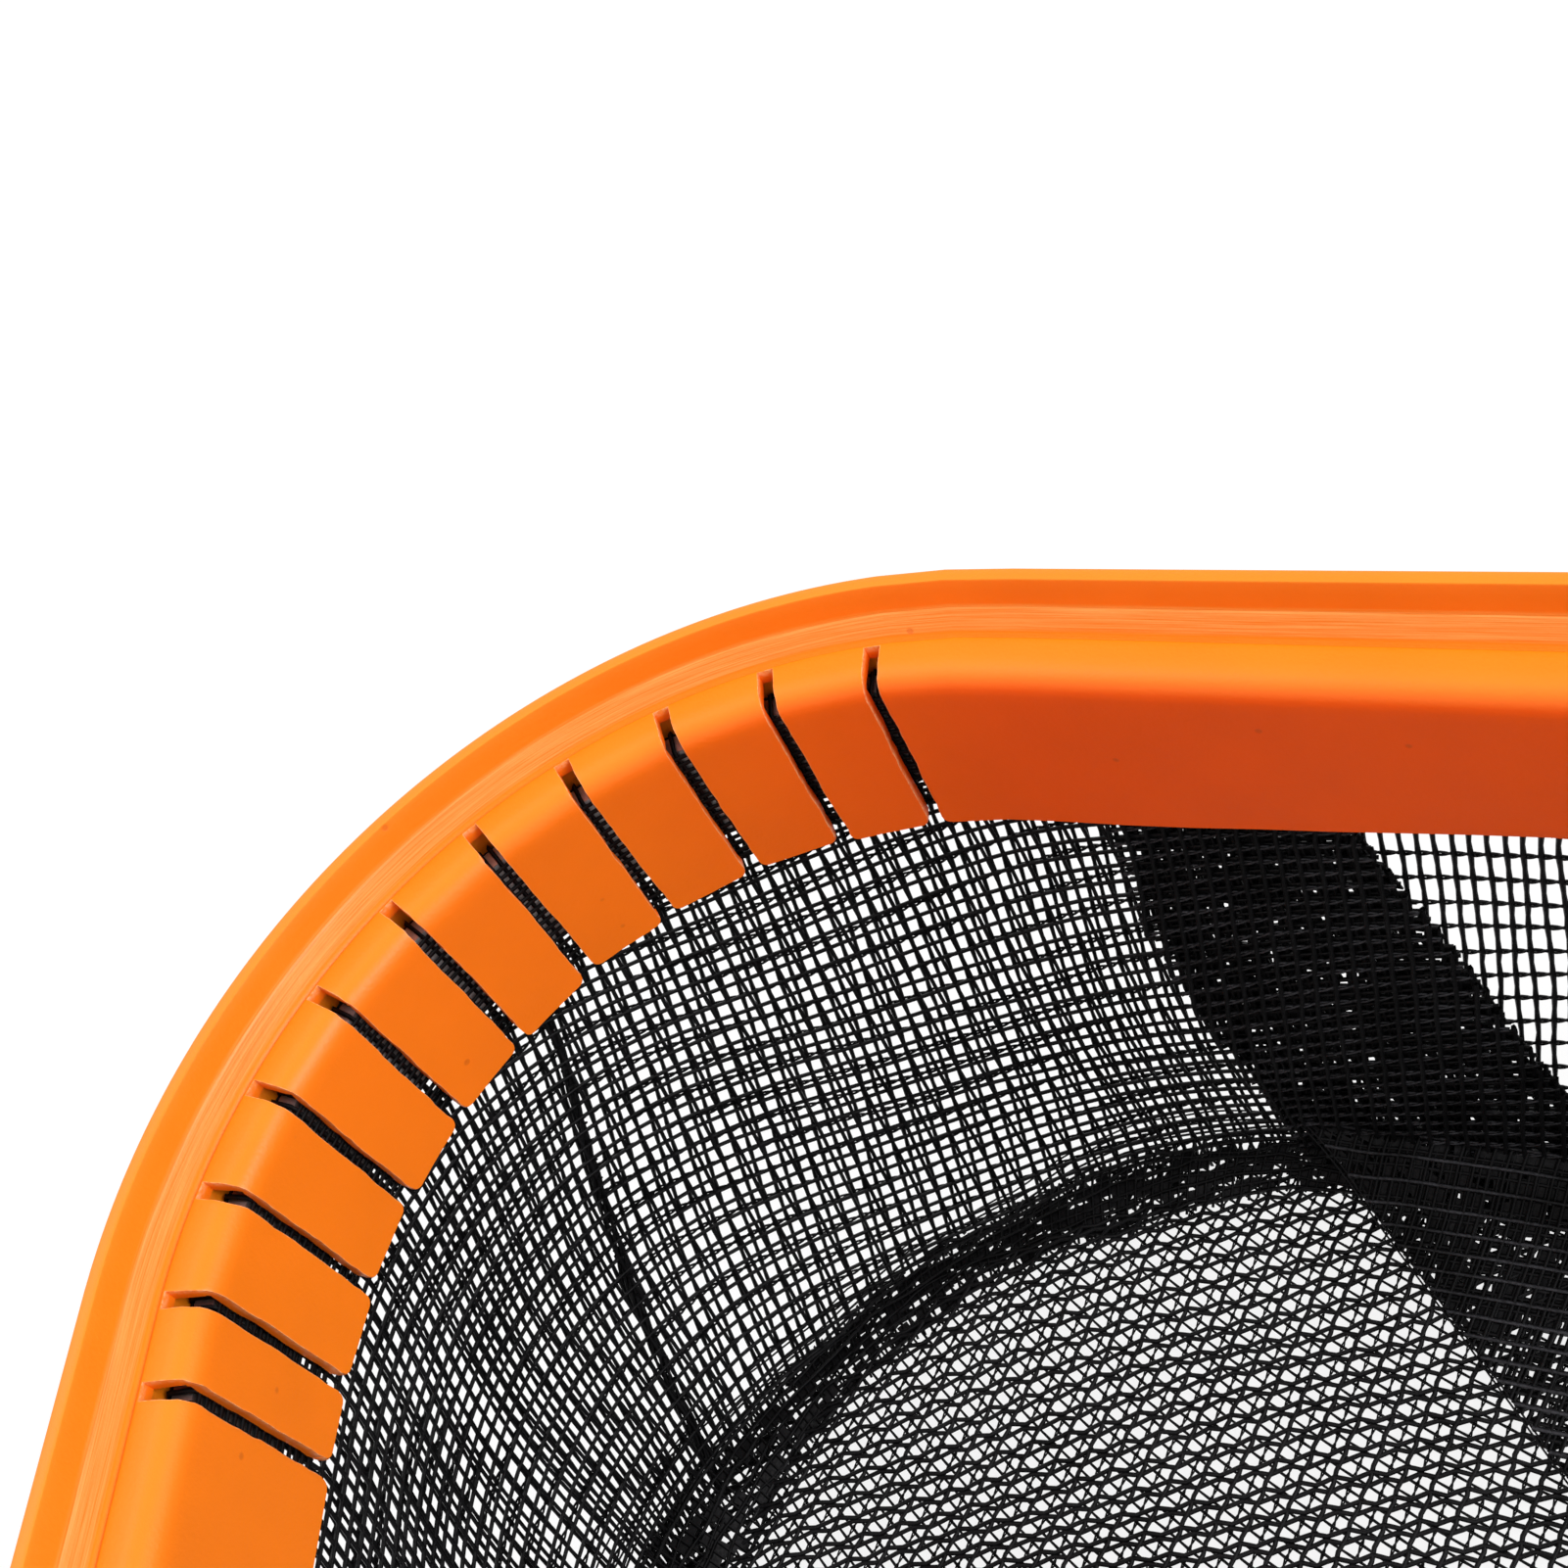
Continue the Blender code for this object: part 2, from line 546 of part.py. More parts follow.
def mesh_openings(cutters):
    """Blocks that open both layers of net in a plain grid, on the bottom and round the walls."""
    blocks = bmesh.new()
    half = (MESH_PITCH - MESH_BAR) / 2
    columns = int(OVERALL_WIDTH / MESH_PITCH)
    rows = int(RAIL_LENGTH / MESH_PITCH)
    middle_y = (FRONT_Y + REAR_Y) / 2
    depth = 2 * (LAYER_SPACING + NET_THICKNESS + SEAT)
    for column in range(columns):
        for row in range(rows):
            x = (column - (columns - 1) / 2) * MESH_PITCH
            y = middle_y + (row - (rows - 1) / 2) * MESH_PITCH
            corners = [(x + i * half, y + j * half) for i in (-1, 1) for j in (-1, 1)]
            if all(within_foot(*corner, MESH_FLOOR_EDGE) for corner in corners):
                size = Matrix.Diagonal((2 * half, 2 * half, depth, 1.0))
                bmesh.ops.create_cube(blocks, size=1.0, matrix=Matrix.Translation((x, y, 0)) @ size)
    path = RailPath(0.0)
    middle = (WINDOW_LOW + WINDOW_HIGH) / 2
    passed = 0.0
    for move, length in zip(path.moves, path.lengths()):
        width = 2 * half if move[0] == "run" else 2 * half * WINDOW_TURN_SHARE
        size = Matrix.Diagonal((width, 2 * WINDOW_REACH, WINDOW_HIGH - WINDOW_LOW, 1.0))
        count = int(length / MESH_PITCH)
        for window in range(count):
            place, heading = path.at(passed + length * (window + 0.5) / count)
            centre = place + inward(heading) * BAG_FOOT_INSET
            centre.z = middle
            turn = Matrix.Translation(centre) @ Matrix.Rotation(heading, 4, "Z")
            bmesh.ops.create_cube(blocks, size=1.0, matrix=turn @ size)
        passed += length
    return as_cutter(add_object("mesh_openings", blocks, None, cutters))


def build_layer(name, extra, foot, openings, parts, finishes):
    """One layer of the bag: walls that close in to a rounded foot, and a flat bottom."""
    top = RAIL_LEVEL - HEM_BOTTOM - BAG_TOP_GAP
    clear = RAIL_LEVEL - FIN_LENGTH - BAG_STRAIGHT_TOP
    inset = OUTER_TOP_INSET + extra
    rings = [ring(inset, FRONT_RADIUS - inset, REAR_RADIUS - inset, level)
             for level in (top, clear)]
    for step in range(1, WALL_RINGS + 1):
        share = step / WALL_RINGS
        level = clear + (foot - clear) * share
        inset = OUTER_TOP_INSET + extra
        inset += (BAG_FOOT_INSET - OUTER_TOP_INSET) * share ** WALL_CURVE
        front = FRONT_RADIUS + (BAG_FOOT_FRONT_RADIUS - FRONT_RADIUS) * share - inset
        rear = REAR_RADIUS + (BAG_FOOT_REAR_RADIUS - REAR_RADIUS) * share - inset
        wave = WALL_WAVE * math.sin(math.pi * share) ** 2
        rings.append(ring(inset, front, rear, level, wave))
    layer = add_object(name, skin(rings, close_bottom=True), finishes["net"], parts)
    wall = layer.modifiers.new("Net thickness", "SOLIDIFY")
    wall.thickness = NET_THICKNESS
    wall.offset = -1
    wall.use_even_offset = True
    boolean(layer, openings)
    return layer


def build_seam(parts, finishes):
    """The turned-in seam allowance that stands inside the foot of the bag."""
    inset = BAG_FOOT_INSET + LAYER_SPACING + NET_THICKNESS + SEAT
    floor = LAYER_SPACING + NET_THICKNESS + SEAT
    top = floor + SEAM_HEIGHT
    rings = []
    for across, level in ((0.0, floor), (0.0, top), (SEAM_THICKNESS, top), (SEAM_THICKNESS, floor)):
        inner = inset + across + SEAM_LEAN * (top - level)
        rings.append(ring(inner, BAG_FOOT_FRONT_RADIUS - inner, BAG_FOOT_REAR_RADIUS - inner,
                          level))
    return add_object("bottom_seam", skin(rings, close_section=True), finishes["seam"], parts)


def build_bag(parts, cutters, finishes):
    """Both layers of net and the seam at their foot."""
    openings = mesh_openings(cutters)
    build_layer("net_outer_layer", 0.0, 0.0, openings, parts, finishes)
    build_layer("net_inner_layer", LAYER_SPACING, LAYER_SPACING, openings, parts, finishes)
    build_seam(parts, finishes)


# ---- Handle ---------------------------------------------------------------------------------
def slab(name, outline, low, high, finish, home):
    """A flat outline in X and Y, given a thickness along Z."""
    bm = bmesh.new()
    face = bm.faces.new([bm.verts.new((x, y, low)) for x, y in outline])
    made = bmesh.ops.extrude_face_region(bm, geom=[face])["geom"]
    moved = [item for item in made if isinstance(item, bmesh.types.BMVert)]
    bmesh.ops.translate(bm, verts=moved, vec=(0, 0, high - low))
    bmesh.ops.recalc_face_normals(bm, faces=bm.faces)
    return add_object(name, bm, finish, home)


def block(name, low, high, finish, home, bevel=0.0):
    """A box between two corners, with rounded edges if asked."""
    low, high = Vector(low), Vector(high)
    bm = bmesh.new()
    scale = Matrix.Diagonal((*(high - low), 1.0))
    bmesh.ops.create_cube(bm, size=1.0, matrix=Matrix.Translation((low + high) / 2) @ scale)
    if bevel:
        bmesh.ops.bevel(bm, geom=bm.edges, offset=bevel, segments=2, affect="EDGES", profile=0.5)
    return add_object(name, bm, finish, home)


def web_outline():
    """Plan of a bracket web: flange width in front, hollowed sides, socket width behind."""
    back = FLANGE_FRONT - FLANGE_THICKNESS
    right = [(FLANGE_HALF_WIDTH, back + FLANGE_THICKNESS / 2)]
    for step in range(WEB_STEPS + 1):
        angle = math.pi / 2 * step / WEB_STEPS
        x = FLANGE_HALF_WIDTH - (FLANGE_HALF_WIDTH - WEB_TAIL_HALF_WIDTH) * math.sin(angle)
        y = back - WEB_REACH * (1 - math.cos(angle))
        right.append((x, y))
    return right + [(-x, y) for x, y in reversed(right)]


def build_bracket(parts, cutters, finishes):
    """Moulded bracket: flange, two webs with ribs between them, and the tube socket."""
    back = FLANGE_FRONT - FLANGE_THICKNESS
    top = RAIL_LEVEL + FLANGE_RISE
    bottom = top - FLANGE_HEIGHT
    finish = finishes["bracket"]
    bracket = block("handle_bracket", (-FLANGE_HALF_WIDTH, back, bottom),
                    (FLANGE_HALF_WIDTH, FLANGE_FRONT, top), finish, parts, bevel=FLANGE_ROUND)
    joined = []
    for word, low in (("upper", top - WEB_INSET - WEB_THICKNESS), ("lower", bottom + WEB_INSET)):
        joined.append(slab(f"{word}_web", web_outline(), low, low + WEB_THICKNESS, None, cutters))
    rib_half = RIB_THICKNESS / 2
    for side, word in ((-1, "left"), (1, "right")):
        middle = side * sum(BOLT_OFFSETS) / 2
        joined.append(block(f"rib_{word}",
                            (middle - rib_half, back - RIB_LENGTH, bottom + RIB_INSET),
                            (middle + rib_half, back + JOIN, top - RIB_INSET), None, cutters))
    socket_radius = TUBE_RADIUS + SOCKET_WALL
    socket_front = back + 2 * JOIN
    socket_length = SOCKET_LENGTH + 2 * JOIN
    joined.append(cylinder("socket_body", socket_radius, socket_length,
                           (0, socket_front - socket_length / 2, TUBE_AXIS), "Y", None, cutters,
                           ROUND_SIDES))
    bolt_y = REAR_Y - TUBE_BOLT_BACK
    boss_height = 2 * (socket_radius + BOSS_RISE)
    joined.append(cylinder("bolt_boss", BOSS_RADIUS, boss_height, (0, bolt_y, TUBE_AXIS), "Z",
                           None, cutters, 24))
    for piece in joined:
        boolean(bracket, as_cutter(piece), "UNION")
    bore_front = TUBE_FRONT_Y + SEAT
    bore = cylinder("socket_bore", TUBE_RADIUS + SEAT, SOCKET_LENGTH,
                    (0, bore_front - SOCKET_LENGTH / 2, TUBE_AXIS), "Y", None, cutters,
                    ROUND_SIDES)
    boolean(bracket, as_cutter(bore))
    return bracket


def hexagon_nut(name, flats, height, bore, place, axis, finish, home):
    """A hexagon nut with its bore along an axis."""
    body = cylinder(name, flats / math.sqrt(3), height, place, axis, finish, home, 6)
    hole = cylinder(f"{name}_bore", bore, height * 2, place, axis, None,
                    bpy.data.collections["cutters"], BOLT_SIDES)
    boolean(body, as_cutter(hole))
    return body


def machine_bolt(name, radius, head_radius, head_height, tip, seat, place, axis, finish, home):
    """A round-headed bolt along an axis, from its tip to the seat of its head."""
    turned_piece(name, [
        (0, tip),
        (radius * 0.8, tip),
        (radius, tip + radius * 0.2),
        (radius, seat),
        (head_radius, seat),
        (head_radius, seat + head_height / 2),
        (head_radius * 0.75, seat + head_height),
        (0, seat + head_height),
    ], place, axis, finish, home, BOLT_SIDES)


def build_flange_bolts(bracket, hoop, parts, cutters, finishes):
    """Backing plate inside the hoop and four bolts through plate, hoop and flange."""
    plate_back = REAR_Y + STRIP_INSET + STRIP_THICKNESS + SEAT
    plate_front = plate_back + PLATE_THICKNESS
    reach = FLANGE_HALF_WIDTH - PLATE_END_INSET
    half = STRIP_HEIGHT / 2
    plate = block("backing_plate", (-reach, plate_back, STRIP_MIDDLE - half),
                  (reach, plate_front, STRIP_MIDDLE + half), finishes["aluminium"], parts,
                  bevel=PLATE_ROUND)
    flange_back = FLANGE_FRONT - FLANGE_THICKNESS
    head = plate_front + SEAT
    nut_middle = flange_back - SEAT - NUT_HEIGHT / 2
    tip = flange_back - SEAT - NUT_HEIGHT - BOLT_TIP
    places = [side * offset for offset in BOLT_OFFSETS for side in (-1, 1)]
    for number, x in enumerate(places, start=1):
        hole = cylinder(f"bolt_hole_{number}", BOLT_RADIUS + SEAT, HOLE_REACH,
                        (x, FLANGE_FRONT, STRIP_MIDDLE), "Y", None, cutters, BOLT_SIDES)
        as_cutter(hole)
        for piece in (plate, hoop, bracket):
            boolean(piece, hole)
        machine_bolt(f"bracket_bolt_{number}", BOLT_RADIUS, BOLT_HEAD_RADIUS, BOLT_HEAD_HEIGHT,
                     tip, head, Vector((x, 0, STRIP_MIDDLE)), "Y", finishes["steel"], parts)
        hexagon_nut(f"bracket_nut_{number}", NUT_FLATS, NUT_HEIGHT, BOLT_RADIUS + SEAT,
                    (x, nut_middle, STRIP_MIDDLE), "Y", finishes["steel"], parts)


def build_tube(bracket, parts, cutters, finishes):
    """Handle tube with its cross bolt, pole stop ring and button holes."""
    bore = TUBE_RADIUS - TUBE_WALL
    tube = turned_piece("handle_tube", [
        (TUBE_RADIUS, TUBE_FRONT_Y),
        (TUBE_RADIUS, TUBE_END_Y),
        (bore, TUBE_END_Y),
        (bore, TUBE_FRONT_Y),
    ], Vector((0, 0, TUBE_AXIS)), "Y", finishes["aluminium"], parts, ROUND_SIDES)
    holes = cylinder("button_holes", BUTTON_HOLE_RADIUS, 4 * TUBE_RADIUS,
                     (0, BUTTON_Y, TUBE_AXIS), "X", None, cutters, 20)
    boolean(tube, as_cutter(holes))

    bolt_y = REAR_Y - TUBE_BOLT_BACK
    bolt_hole = cylinder("tube_bolt_hole", TUBE_BOLT_RADIUS + SEAT, 6 * TUBE_RADIUS,
                         (0, bolt_y, TUBE_AXIS), "Z", None, cutters, BOLT_SIDES)
    as_cutter(bolt_hole)
    boolean(tube, bolt_hole)
    boolean(bracket, bolt_hole)
    half = TUBE_RADIUS + SOCKET_WALL + BOSS_RISE
    head = half + SEAT
    tip = -half - SEAT - TUBE_NUT_HEIGHT - BOLT_TIP
    machine_bolt("tube_bolt", TUBE_BOLT_RADIUS, TUBE_BOLT_HEAD_RADIUS, TUBE_BOLT_HEAD_HEIGHT,
                 tip, head, Vector((0, bolt_y, TUBE_AXIS)), "Z", finishes["steel"], parts)
    hexagon_nut("tube_nut", TUBE_NUT_FLATS, TUBE_NUT_HEIGHT, TUBE_BOLT_RADIUS + SEAT,
                (0, bolt_y, TUBE_AXIS - half - SEAT - TUBE_NUT_HEIGHT / 2), "Z",
                finishes["steel"], parts)

    stop_back = TUBE_END_Y + POLE_ENTRY
    outer = TUBE_RADIUS + STOP_WALL
    turned_piece("pole_stop", [
        (TUBE_RADIUS + SEAT, stop_back),
        (outer, stop_back),
        (outer, stop_back + STOP_LENGTH * 0.6),
        (TUBE_RADIUS + STOP_WALL * 0.45, stop_back + STOP_LENGTH),
        (TUBE_RADIUS + SEAT, stop_back + STOP_LENGTH),
    ], Vector((0, 0, TUBE_AXIS)), "Y", finishes["bracket"], parts, ROUND_SIDES)


def build_clip(parts, finishes):
    """Spring clip inside the tube: a bent spine and two arms, each with a push button."""
    face = math.sqrt((TUBE_RADIUS - TUBE_WALL - SEAT) ** 2 - (CLIP_HEIGHT / 2) ** 2)
    pivot_x = face - CLIP_THICKNESS / 2
    low, high = TUBE_AXIS - CLIP_HEIGHT / 2, TUBE_AXIS + CLIP_HEIGHT / 2
    spine = bmesh.new()
    start_y = PIVOT_Y + SEAT / 2
    corners = [(face, low), (face - CLIP_THICKNESS, low), (face - CLIP_THICKNESS, high), (face, high)]
    section = spine.faces.new([spine.verts.new((x, start_y, z)) for x, z in corners])
    bmesh.ops.spin(spine, geom=[section, *section.edges, *section.verts], cent=(0, start_y, 0),
                   axis=(0, 0, 1), dvec=(0, 0, 0), angle=math.pi, steps=14, use_duplicate=False)
    bmesh.ops.recalc_face_normals(spine, faces=spine.faces)
    add_object("clip_spine", spine, finishes["steel"], parts, smooth_angle=math.radians(30))

    for side, word in ((-1, "left"), (1, "right")):
        pivot = bpy.data.objects.new(f"clip_pivot_{word}", None)
        pivot.location = (side * pivot_x, PIVOT_Y, TUBE_AXIS)
        parts.objects.link(pivot)
        edges = sorted((side * face, side * (face - CLIP_THICKNESS)))
        arm = block(f"clip_arm_{word}", (edges[0], BUTTON_Y - CLIP_TAIL, low),
                    (edges[1], PIVOT_Y - SEAT / 2, high), finishes["steel"], parts)
        root = face + SEAT
        tip = TUBE_RADIUS + BUTTON_PROUD
        button = turned_piece(f"clip_button_{word}", [
            (0, side * root),
            (BUTTON_RADIUS, side * root),
            (BUTTON_RADIUS, side * (tip - 1.2 * MM)),
            (BUTTON_RADIUS * 0.82, side * (tip - 0.35 * MM)),
            (BUTTON_RADIUS * 0.45, side * tip),
            (0, side * tip),
        ], Vector((0, BUTTON_Y, TUBE_AXIS)), "X", finishes["steel"], parts, 20)
        for piece in (arm, button):
            piece.parent = pivot
            piece.matrix_parent_inverse = Matrix.Translation(pivot.location).inverted()


def main():
    """Build the whole net."""
    clear_scene()
    parts = collection("leaf_skimmer_net")
    cutters = collection("cutters")
    finishes = {
        "edge": material("orange_polypropylene", (1.0, 0.20, 0.02), 0.38),
        "aluminium": material("mill_aluminium", (0.62, 0.62, 0.64), 0.38, 1.0),
        "net": material("black_polyester_net", (0.012, 0.012, 0.014), 0.6),
        "seam": material("black_seam_tape", (0.010, 0.010, 0.011), 0.7),
        "bracket": material("black_moulded_nylon", (0.015, 0.015, 0.017), 0.45),
        "steel": material("stainless_steel", (0.55, 0.55, 0.56), 0.28, 1.0),
    }
    build_frame(parts, cutters, finishes)
    build_bag(parts, cutters, finishes)
    bracket = build_bracket(parts, cutters, finishes)
    build_flange_bolts(bracket, bpy.data.objects["frame_hoop"], parts, cutters, finishes)
    build_tube(bracket, parts, cutters, finishes)
    build_clip(parts, finishes)


main()
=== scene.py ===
"""Leaf skimmer net: the finished looks of every piece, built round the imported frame.

The frame gives the places and sizes. Positions run round the rim as a station, in metres
counter-clockwise from the start of the rear right corner, and sections are drawn with an inset
towards the bag and a rise above the line where the slits of the scoop edge start.
"""

import logging
import math
from dataclasses import dataclass
from enum import Enum
from typing import Callable, Optional, Sequence

import bmesh
import bpy
import numpy as np
from mathutils import Matrix, Vector


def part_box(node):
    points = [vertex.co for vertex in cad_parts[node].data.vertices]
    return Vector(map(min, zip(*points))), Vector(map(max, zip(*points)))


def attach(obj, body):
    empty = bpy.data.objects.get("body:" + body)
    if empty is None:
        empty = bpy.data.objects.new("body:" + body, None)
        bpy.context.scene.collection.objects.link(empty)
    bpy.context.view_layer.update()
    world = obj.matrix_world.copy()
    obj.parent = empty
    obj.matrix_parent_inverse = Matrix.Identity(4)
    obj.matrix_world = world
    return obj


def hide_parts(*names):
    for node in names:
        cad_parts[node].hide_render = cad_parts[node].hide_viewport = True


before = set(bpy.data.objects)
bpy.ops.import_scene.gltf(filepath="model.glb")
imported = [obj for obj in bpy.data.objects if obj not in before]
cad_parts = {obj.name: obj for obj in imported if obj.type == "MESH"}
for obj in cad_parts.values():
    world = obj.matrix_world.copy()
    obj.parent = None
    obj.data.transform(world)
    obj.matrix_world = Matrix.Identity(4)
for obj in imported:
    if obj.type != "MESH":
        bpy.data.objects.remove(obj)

LOG = logging.getLogger("leaf_skimmer_net")
MM = 0.001
BAKE_MAP = "OFBake"
ROOT = "root"
Array = np.ndarray
Piece = bpy.types.Object


# ---- Rail and bag shape ----
@dataclass(frozen=True)
class Rail:
    """The line round the rim where the slits start: four straight runs and four round turns."""

    front_y: float
    rear_y: float
    half_width: float
    level: float
    taper: float = math.radians(20)
    front_radius: float = 54.0 * MM
    rear_radius: float = 60.0 * MM

    @classmethod
    def from_frame(cls, lip_flare: float, lip_rise: float) -> "Rail":
        """Read the rail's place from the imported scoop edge.

        Args:
            lip_flare: How far the lip stands out beyond the rail.
            lip_rise: How far the lip stands above the rail.

        Returns:
            The rail that the scoop edge follows.
        """
        low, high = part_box("scoop_edge")
        return cls(high.y - lip_flare, low.y + lip_flare, high.x - lip_flare, high.z - lip_rise)

    def centre(self, front: bool, radius: Array, inset: Array) -> tuple:
        """Centre of a right-hand turn of an outline that lies inset from the rail.

        Args:
            front: Whether the turn is a front one.
            radius: Radius of the turn in that outline.
            inset: Distance of the outline inside the rail.

        Returns:
            The centre's x and y.
        """
        slope, lean = math.sin(self.taper), math.cos(self.taper)
        front_x = self.half_width - self.front_radius
        side = lean * front_x - slope * (self.front_y - self.front_radius) + self.front_radius
        y = self.front_y - inset - radius if front else self.rear_y + inset + radius
        return (side - inset - radius + slope * y) / lean, y

    def turns(self) -> list:
        """Angles at which the four turns begin and end, with their side and place."""
        taper = self.taper
        return [
            (-math.pi / 2, -taper, 1, False),
            (-taper, math.pi / 2, 1, True),
            (math.pi / 2, math.pi + taper, -1, True),
            (math.pi + taper, 1.5 * math.pi, -1, False),
        ]

    def spans(self) -> list:
        """Lengths of turn, run, turn, run, and so on, from the rear right corner."""
        front = self.centre(True, self.front_radius, 0.0)
        rear = self.centre(False, self.rear_radius, 0.0)
        slant = math.hypot(front[0] - rear[0], front[1] - rear[1])
        side = math.sqrt(slant ** 2 - (self.front_radius - self.rear_radius) ** 2)
        runs = [side, 2 * front[0], side, 2 * rear[0]]
        found = []
        for (begin, end, _, is_front), run in zip(self.turns(), runs):
            radius = self.front_radius if is_front else self.rear_radius
            found += [radius * (end - begin), run]
        return found

    def starts(self) -> Array:
        """Stations at which the eight spans start, and the whole length."""
        return np.concatenate(([0.0], np.cumsum(self.spans())))

    def place(self, station: Array, inset: Array, growth: tuple = (0.0, 0.0)) -> tuple:
        """Points of outlines parallel to the rail.

        Args:
            station: Distance round the rail.
            inset: Distance inside the rail.
            growth: What is added to the radius of the front and of the rear turns.

        Returns:
            Arrays x, y and the outward direction's x and y.
        """
        starts = self.starts()
        station, inset = np.broadcast_arrays(np.mod(station, starts[-1]), inset)
        grown = [np.broadcast_to(value, station.shape) for value in growth]
        x, y, out_x, out_y = (np.zeros(station.shape) for _ in range(4))

        def on_turn(index: int, share: Array, mask: Array) -> tuple:
            begin, end, side, is_front = self.turns()[index % 4]
            base = self.front_radius if is_front else self.rear_radius
            radius = base + grown[0 if is_front else 1][mask] - inset[mask]
            centre_x, centre_y = self.centre(is_front, radius, inset[mask])
            angle = begin + (end - begin) * share
            return side * centre_x + radius * np.cos(angle), centre_y + radius * np.sin(angle), angle

        for number, (low, high) in enumerate(zip(starts, starts[1:])):
            mask = (station >= low) & (station < high)
            if not mask.any():
                continue
            share = (station[mask] - low) / (high - low)
            if number % 2 == 0:
                x[mask], y[mask], angle = on_turn(number // 2, share, mask)
            else:
                x0, y0, angle = on_turn(number // 2, 1.0, mask)
                x1, y1, _ = on_turn(number // 2 + 1, 0.0, mask)
                x[mask], y[mask] = x0 + (x1 - x0) * share, y0 + (y1 - y0) * share
            out_x[mask], out_y[mask] = np.cos(angle), np.sin(angle)
        return x, y, out_x, out_y


@dataclass(frozen=True)
class BagShape:
    """The hanging shape of the bag: walls that close in to a rounded foot, with slack folds."""

    rail: Rail
    fin_length: float = 20.6 * MM
    straight_top: float = 1.5 * MM
    top_inset: float = 1.1 * MM
    foot_inset: float = 5.0 * MM
    foot_growth: tuple = (14.0 * MM, 12.0 * MM)
    wall_curve: float = 1.6
    wave: float = 2.5 * MM
    narrow_folds: int = 11
    wide_folds: int = 4

    def wall(self, station: Array, level: Array, inward: Array) -> Array:
        """Points of the wall.

        Args:
            station: Distance round the rail.
            level: Height above the floor.
            inward: Distance inside the outer layer's outer face.

        Returns:
            Points as an array with a last axis of three.
        """
        clear = self.rail.level - self.fin_length - self.straight_top
        share = np.clip((clear - level) / clear, 0.0, 1.0)
        inset = self.top_inset + (self.foot_inset - self.top_inset) * share ** self.wall_curve
        inset = inset + inward
        growth = tuple(value * share for value in self.foot_growth)
        x, y, out_x, out_y = self.rail.place(station, inset, growth)
        turn = 2 * math.pi * station / self.rail.starts()[-1]
        fold = np.sin(self.narrow_folds * turn) + 0.6 * np.sin(self.wide_folds * turn + 1.0)
        push = -self.wave * np.sin(math.pi * share) ** 2 * fold
        return np.stack([x + push * out_x, y + push * out_y, np.broadcast_to(level, x.shape)], -1)

    def foot(self, station: Array, inward: Array) -> tuple:
        """Points of outlines of the bottom panel, and their outward directions."""
        return self.rail.place(station, self.foot_inset + inward, self.foot_growth)

    def inside_foot(self, x: Array, y: Array) -> Array:
        """Distance inside the foot's outline, negative outside it."""
        rail = self.rail
        radius = [rail.front_radius + self.foot_growth[0] - self.foot_inset,
                  rail.rear_radius + self.foot_growth[1] - self.foot_inset]
        front = rail.centre(True, radius[0], self.foot_inset)
        rear = rail.centre(False, radius[1], self.foot_inset)
        across = np.abs(x)
        slope, lean = math.sin(rail.taper), math.cos(rail.taper)
        side = lean * front[0] - slope * front[1] + radius[0] - (lean * across - slope * y)
        found = np.minimum(side, np.minimum(rail.front_y - self.foot_inset - y,
                                            y - rail.rear_y - self.foot_inset))
        for (centre_x, centre_y), size, begin, end in (
                (front, radius[0], -rail.taper, math.pi / 2),
                (rear, radius[1], -math.pi / 2, -rail.taper)):
            angle = np.arctan2(y - centre_y, across - centre_x)
            turned = (angle > begin) & (angle < end)
            depth = size - np.hypot(across - centre_x, y - centre_y)
            found = np.where(turned, np.minimum(depth, found + size), found)
            found = np.where(turned, depth, found)
        return found


# ---- Small tools ----
def linear(hex_colour: str) -> tuple:
    """Turn an sRGB hex colour into linear values with an alpha of one."""
    parts = [int(hex_colour[i:i + 2], 16) / 255 for i in (1, 3, 5)]
    return (*[v / 12.92 if v <= 0.04045 else ((v + 0.055) / 1.055) ** 2.4 for v in parts], 1.0)


def fill(tree: bpy.types.NodeTree, socket: bpy.types.NodeSocket, value: object) -> None:
    """Give an input a plain value or a hex colour, or link it from a socket or a node."""
    if isinstance(value, bpy.types.Node):
        value = value.outputs[0]
    if isinstance(value, bpy.types.NodeSocket):
        tree.links.new(value, socket)
    else:
        socket.default_value = linear(value) if str(value).startswith("#") else value


def add_node(tree: bpy.types.NodeTree, kind: str, inputs: Optional[dict] = None,
             stops: Sequence = (), **settings) -> bpy.types.Node:
    """Add a node with its settings, its values and its links.

    Args:
        tree: The node tree that takes the node.
        kind: The node's type.
        inputs: What each input holds, by its name or number.
        stops: A colour ramp's pairs of position and hex colour or grey level.
        **settings: Properties of the node.

    Returns:
        The new node.
    """
    node = tree.nodes.new(kind)
    for key, value in settings.items():
        setattr(node, key, value)
    for key, value in (inputs or {}).items():
        fill(tree, node.inputs[key], value)
    for element, (position, colour) in zip(node.color_ramp.elements if stops else (), stops):
        element.position = position
        element.color = linear(colour) if isinstance(colour, str) else (colour, colour, colour, 1)
    return node


def noise_1d(place: Array, seed: int, octaves: int = 2) -> Array:
    """Smooth noise from -1 to 1 along a line, the same each run."""
    table = np.random.default_rng(seed).uniform(-1, 1, 4096)
    total, weight = np.zeros(np.shape(place)), 0.0
    for octave in range(octaves):
        spot = np.asarray(place) * 2 ** octave + 17.3 * octave + 1000.0
        cell = np.floor(spot).astype(int)
        part = spot - cell
        part = part * part * (3 - 2 * part)
        value = table[cell % 4096] * (1 - part) + table[(cell + 1) % 4096] * part
        total += value * 0.5 ** octave
        weight += 0.5 ** octave
    return total / weight


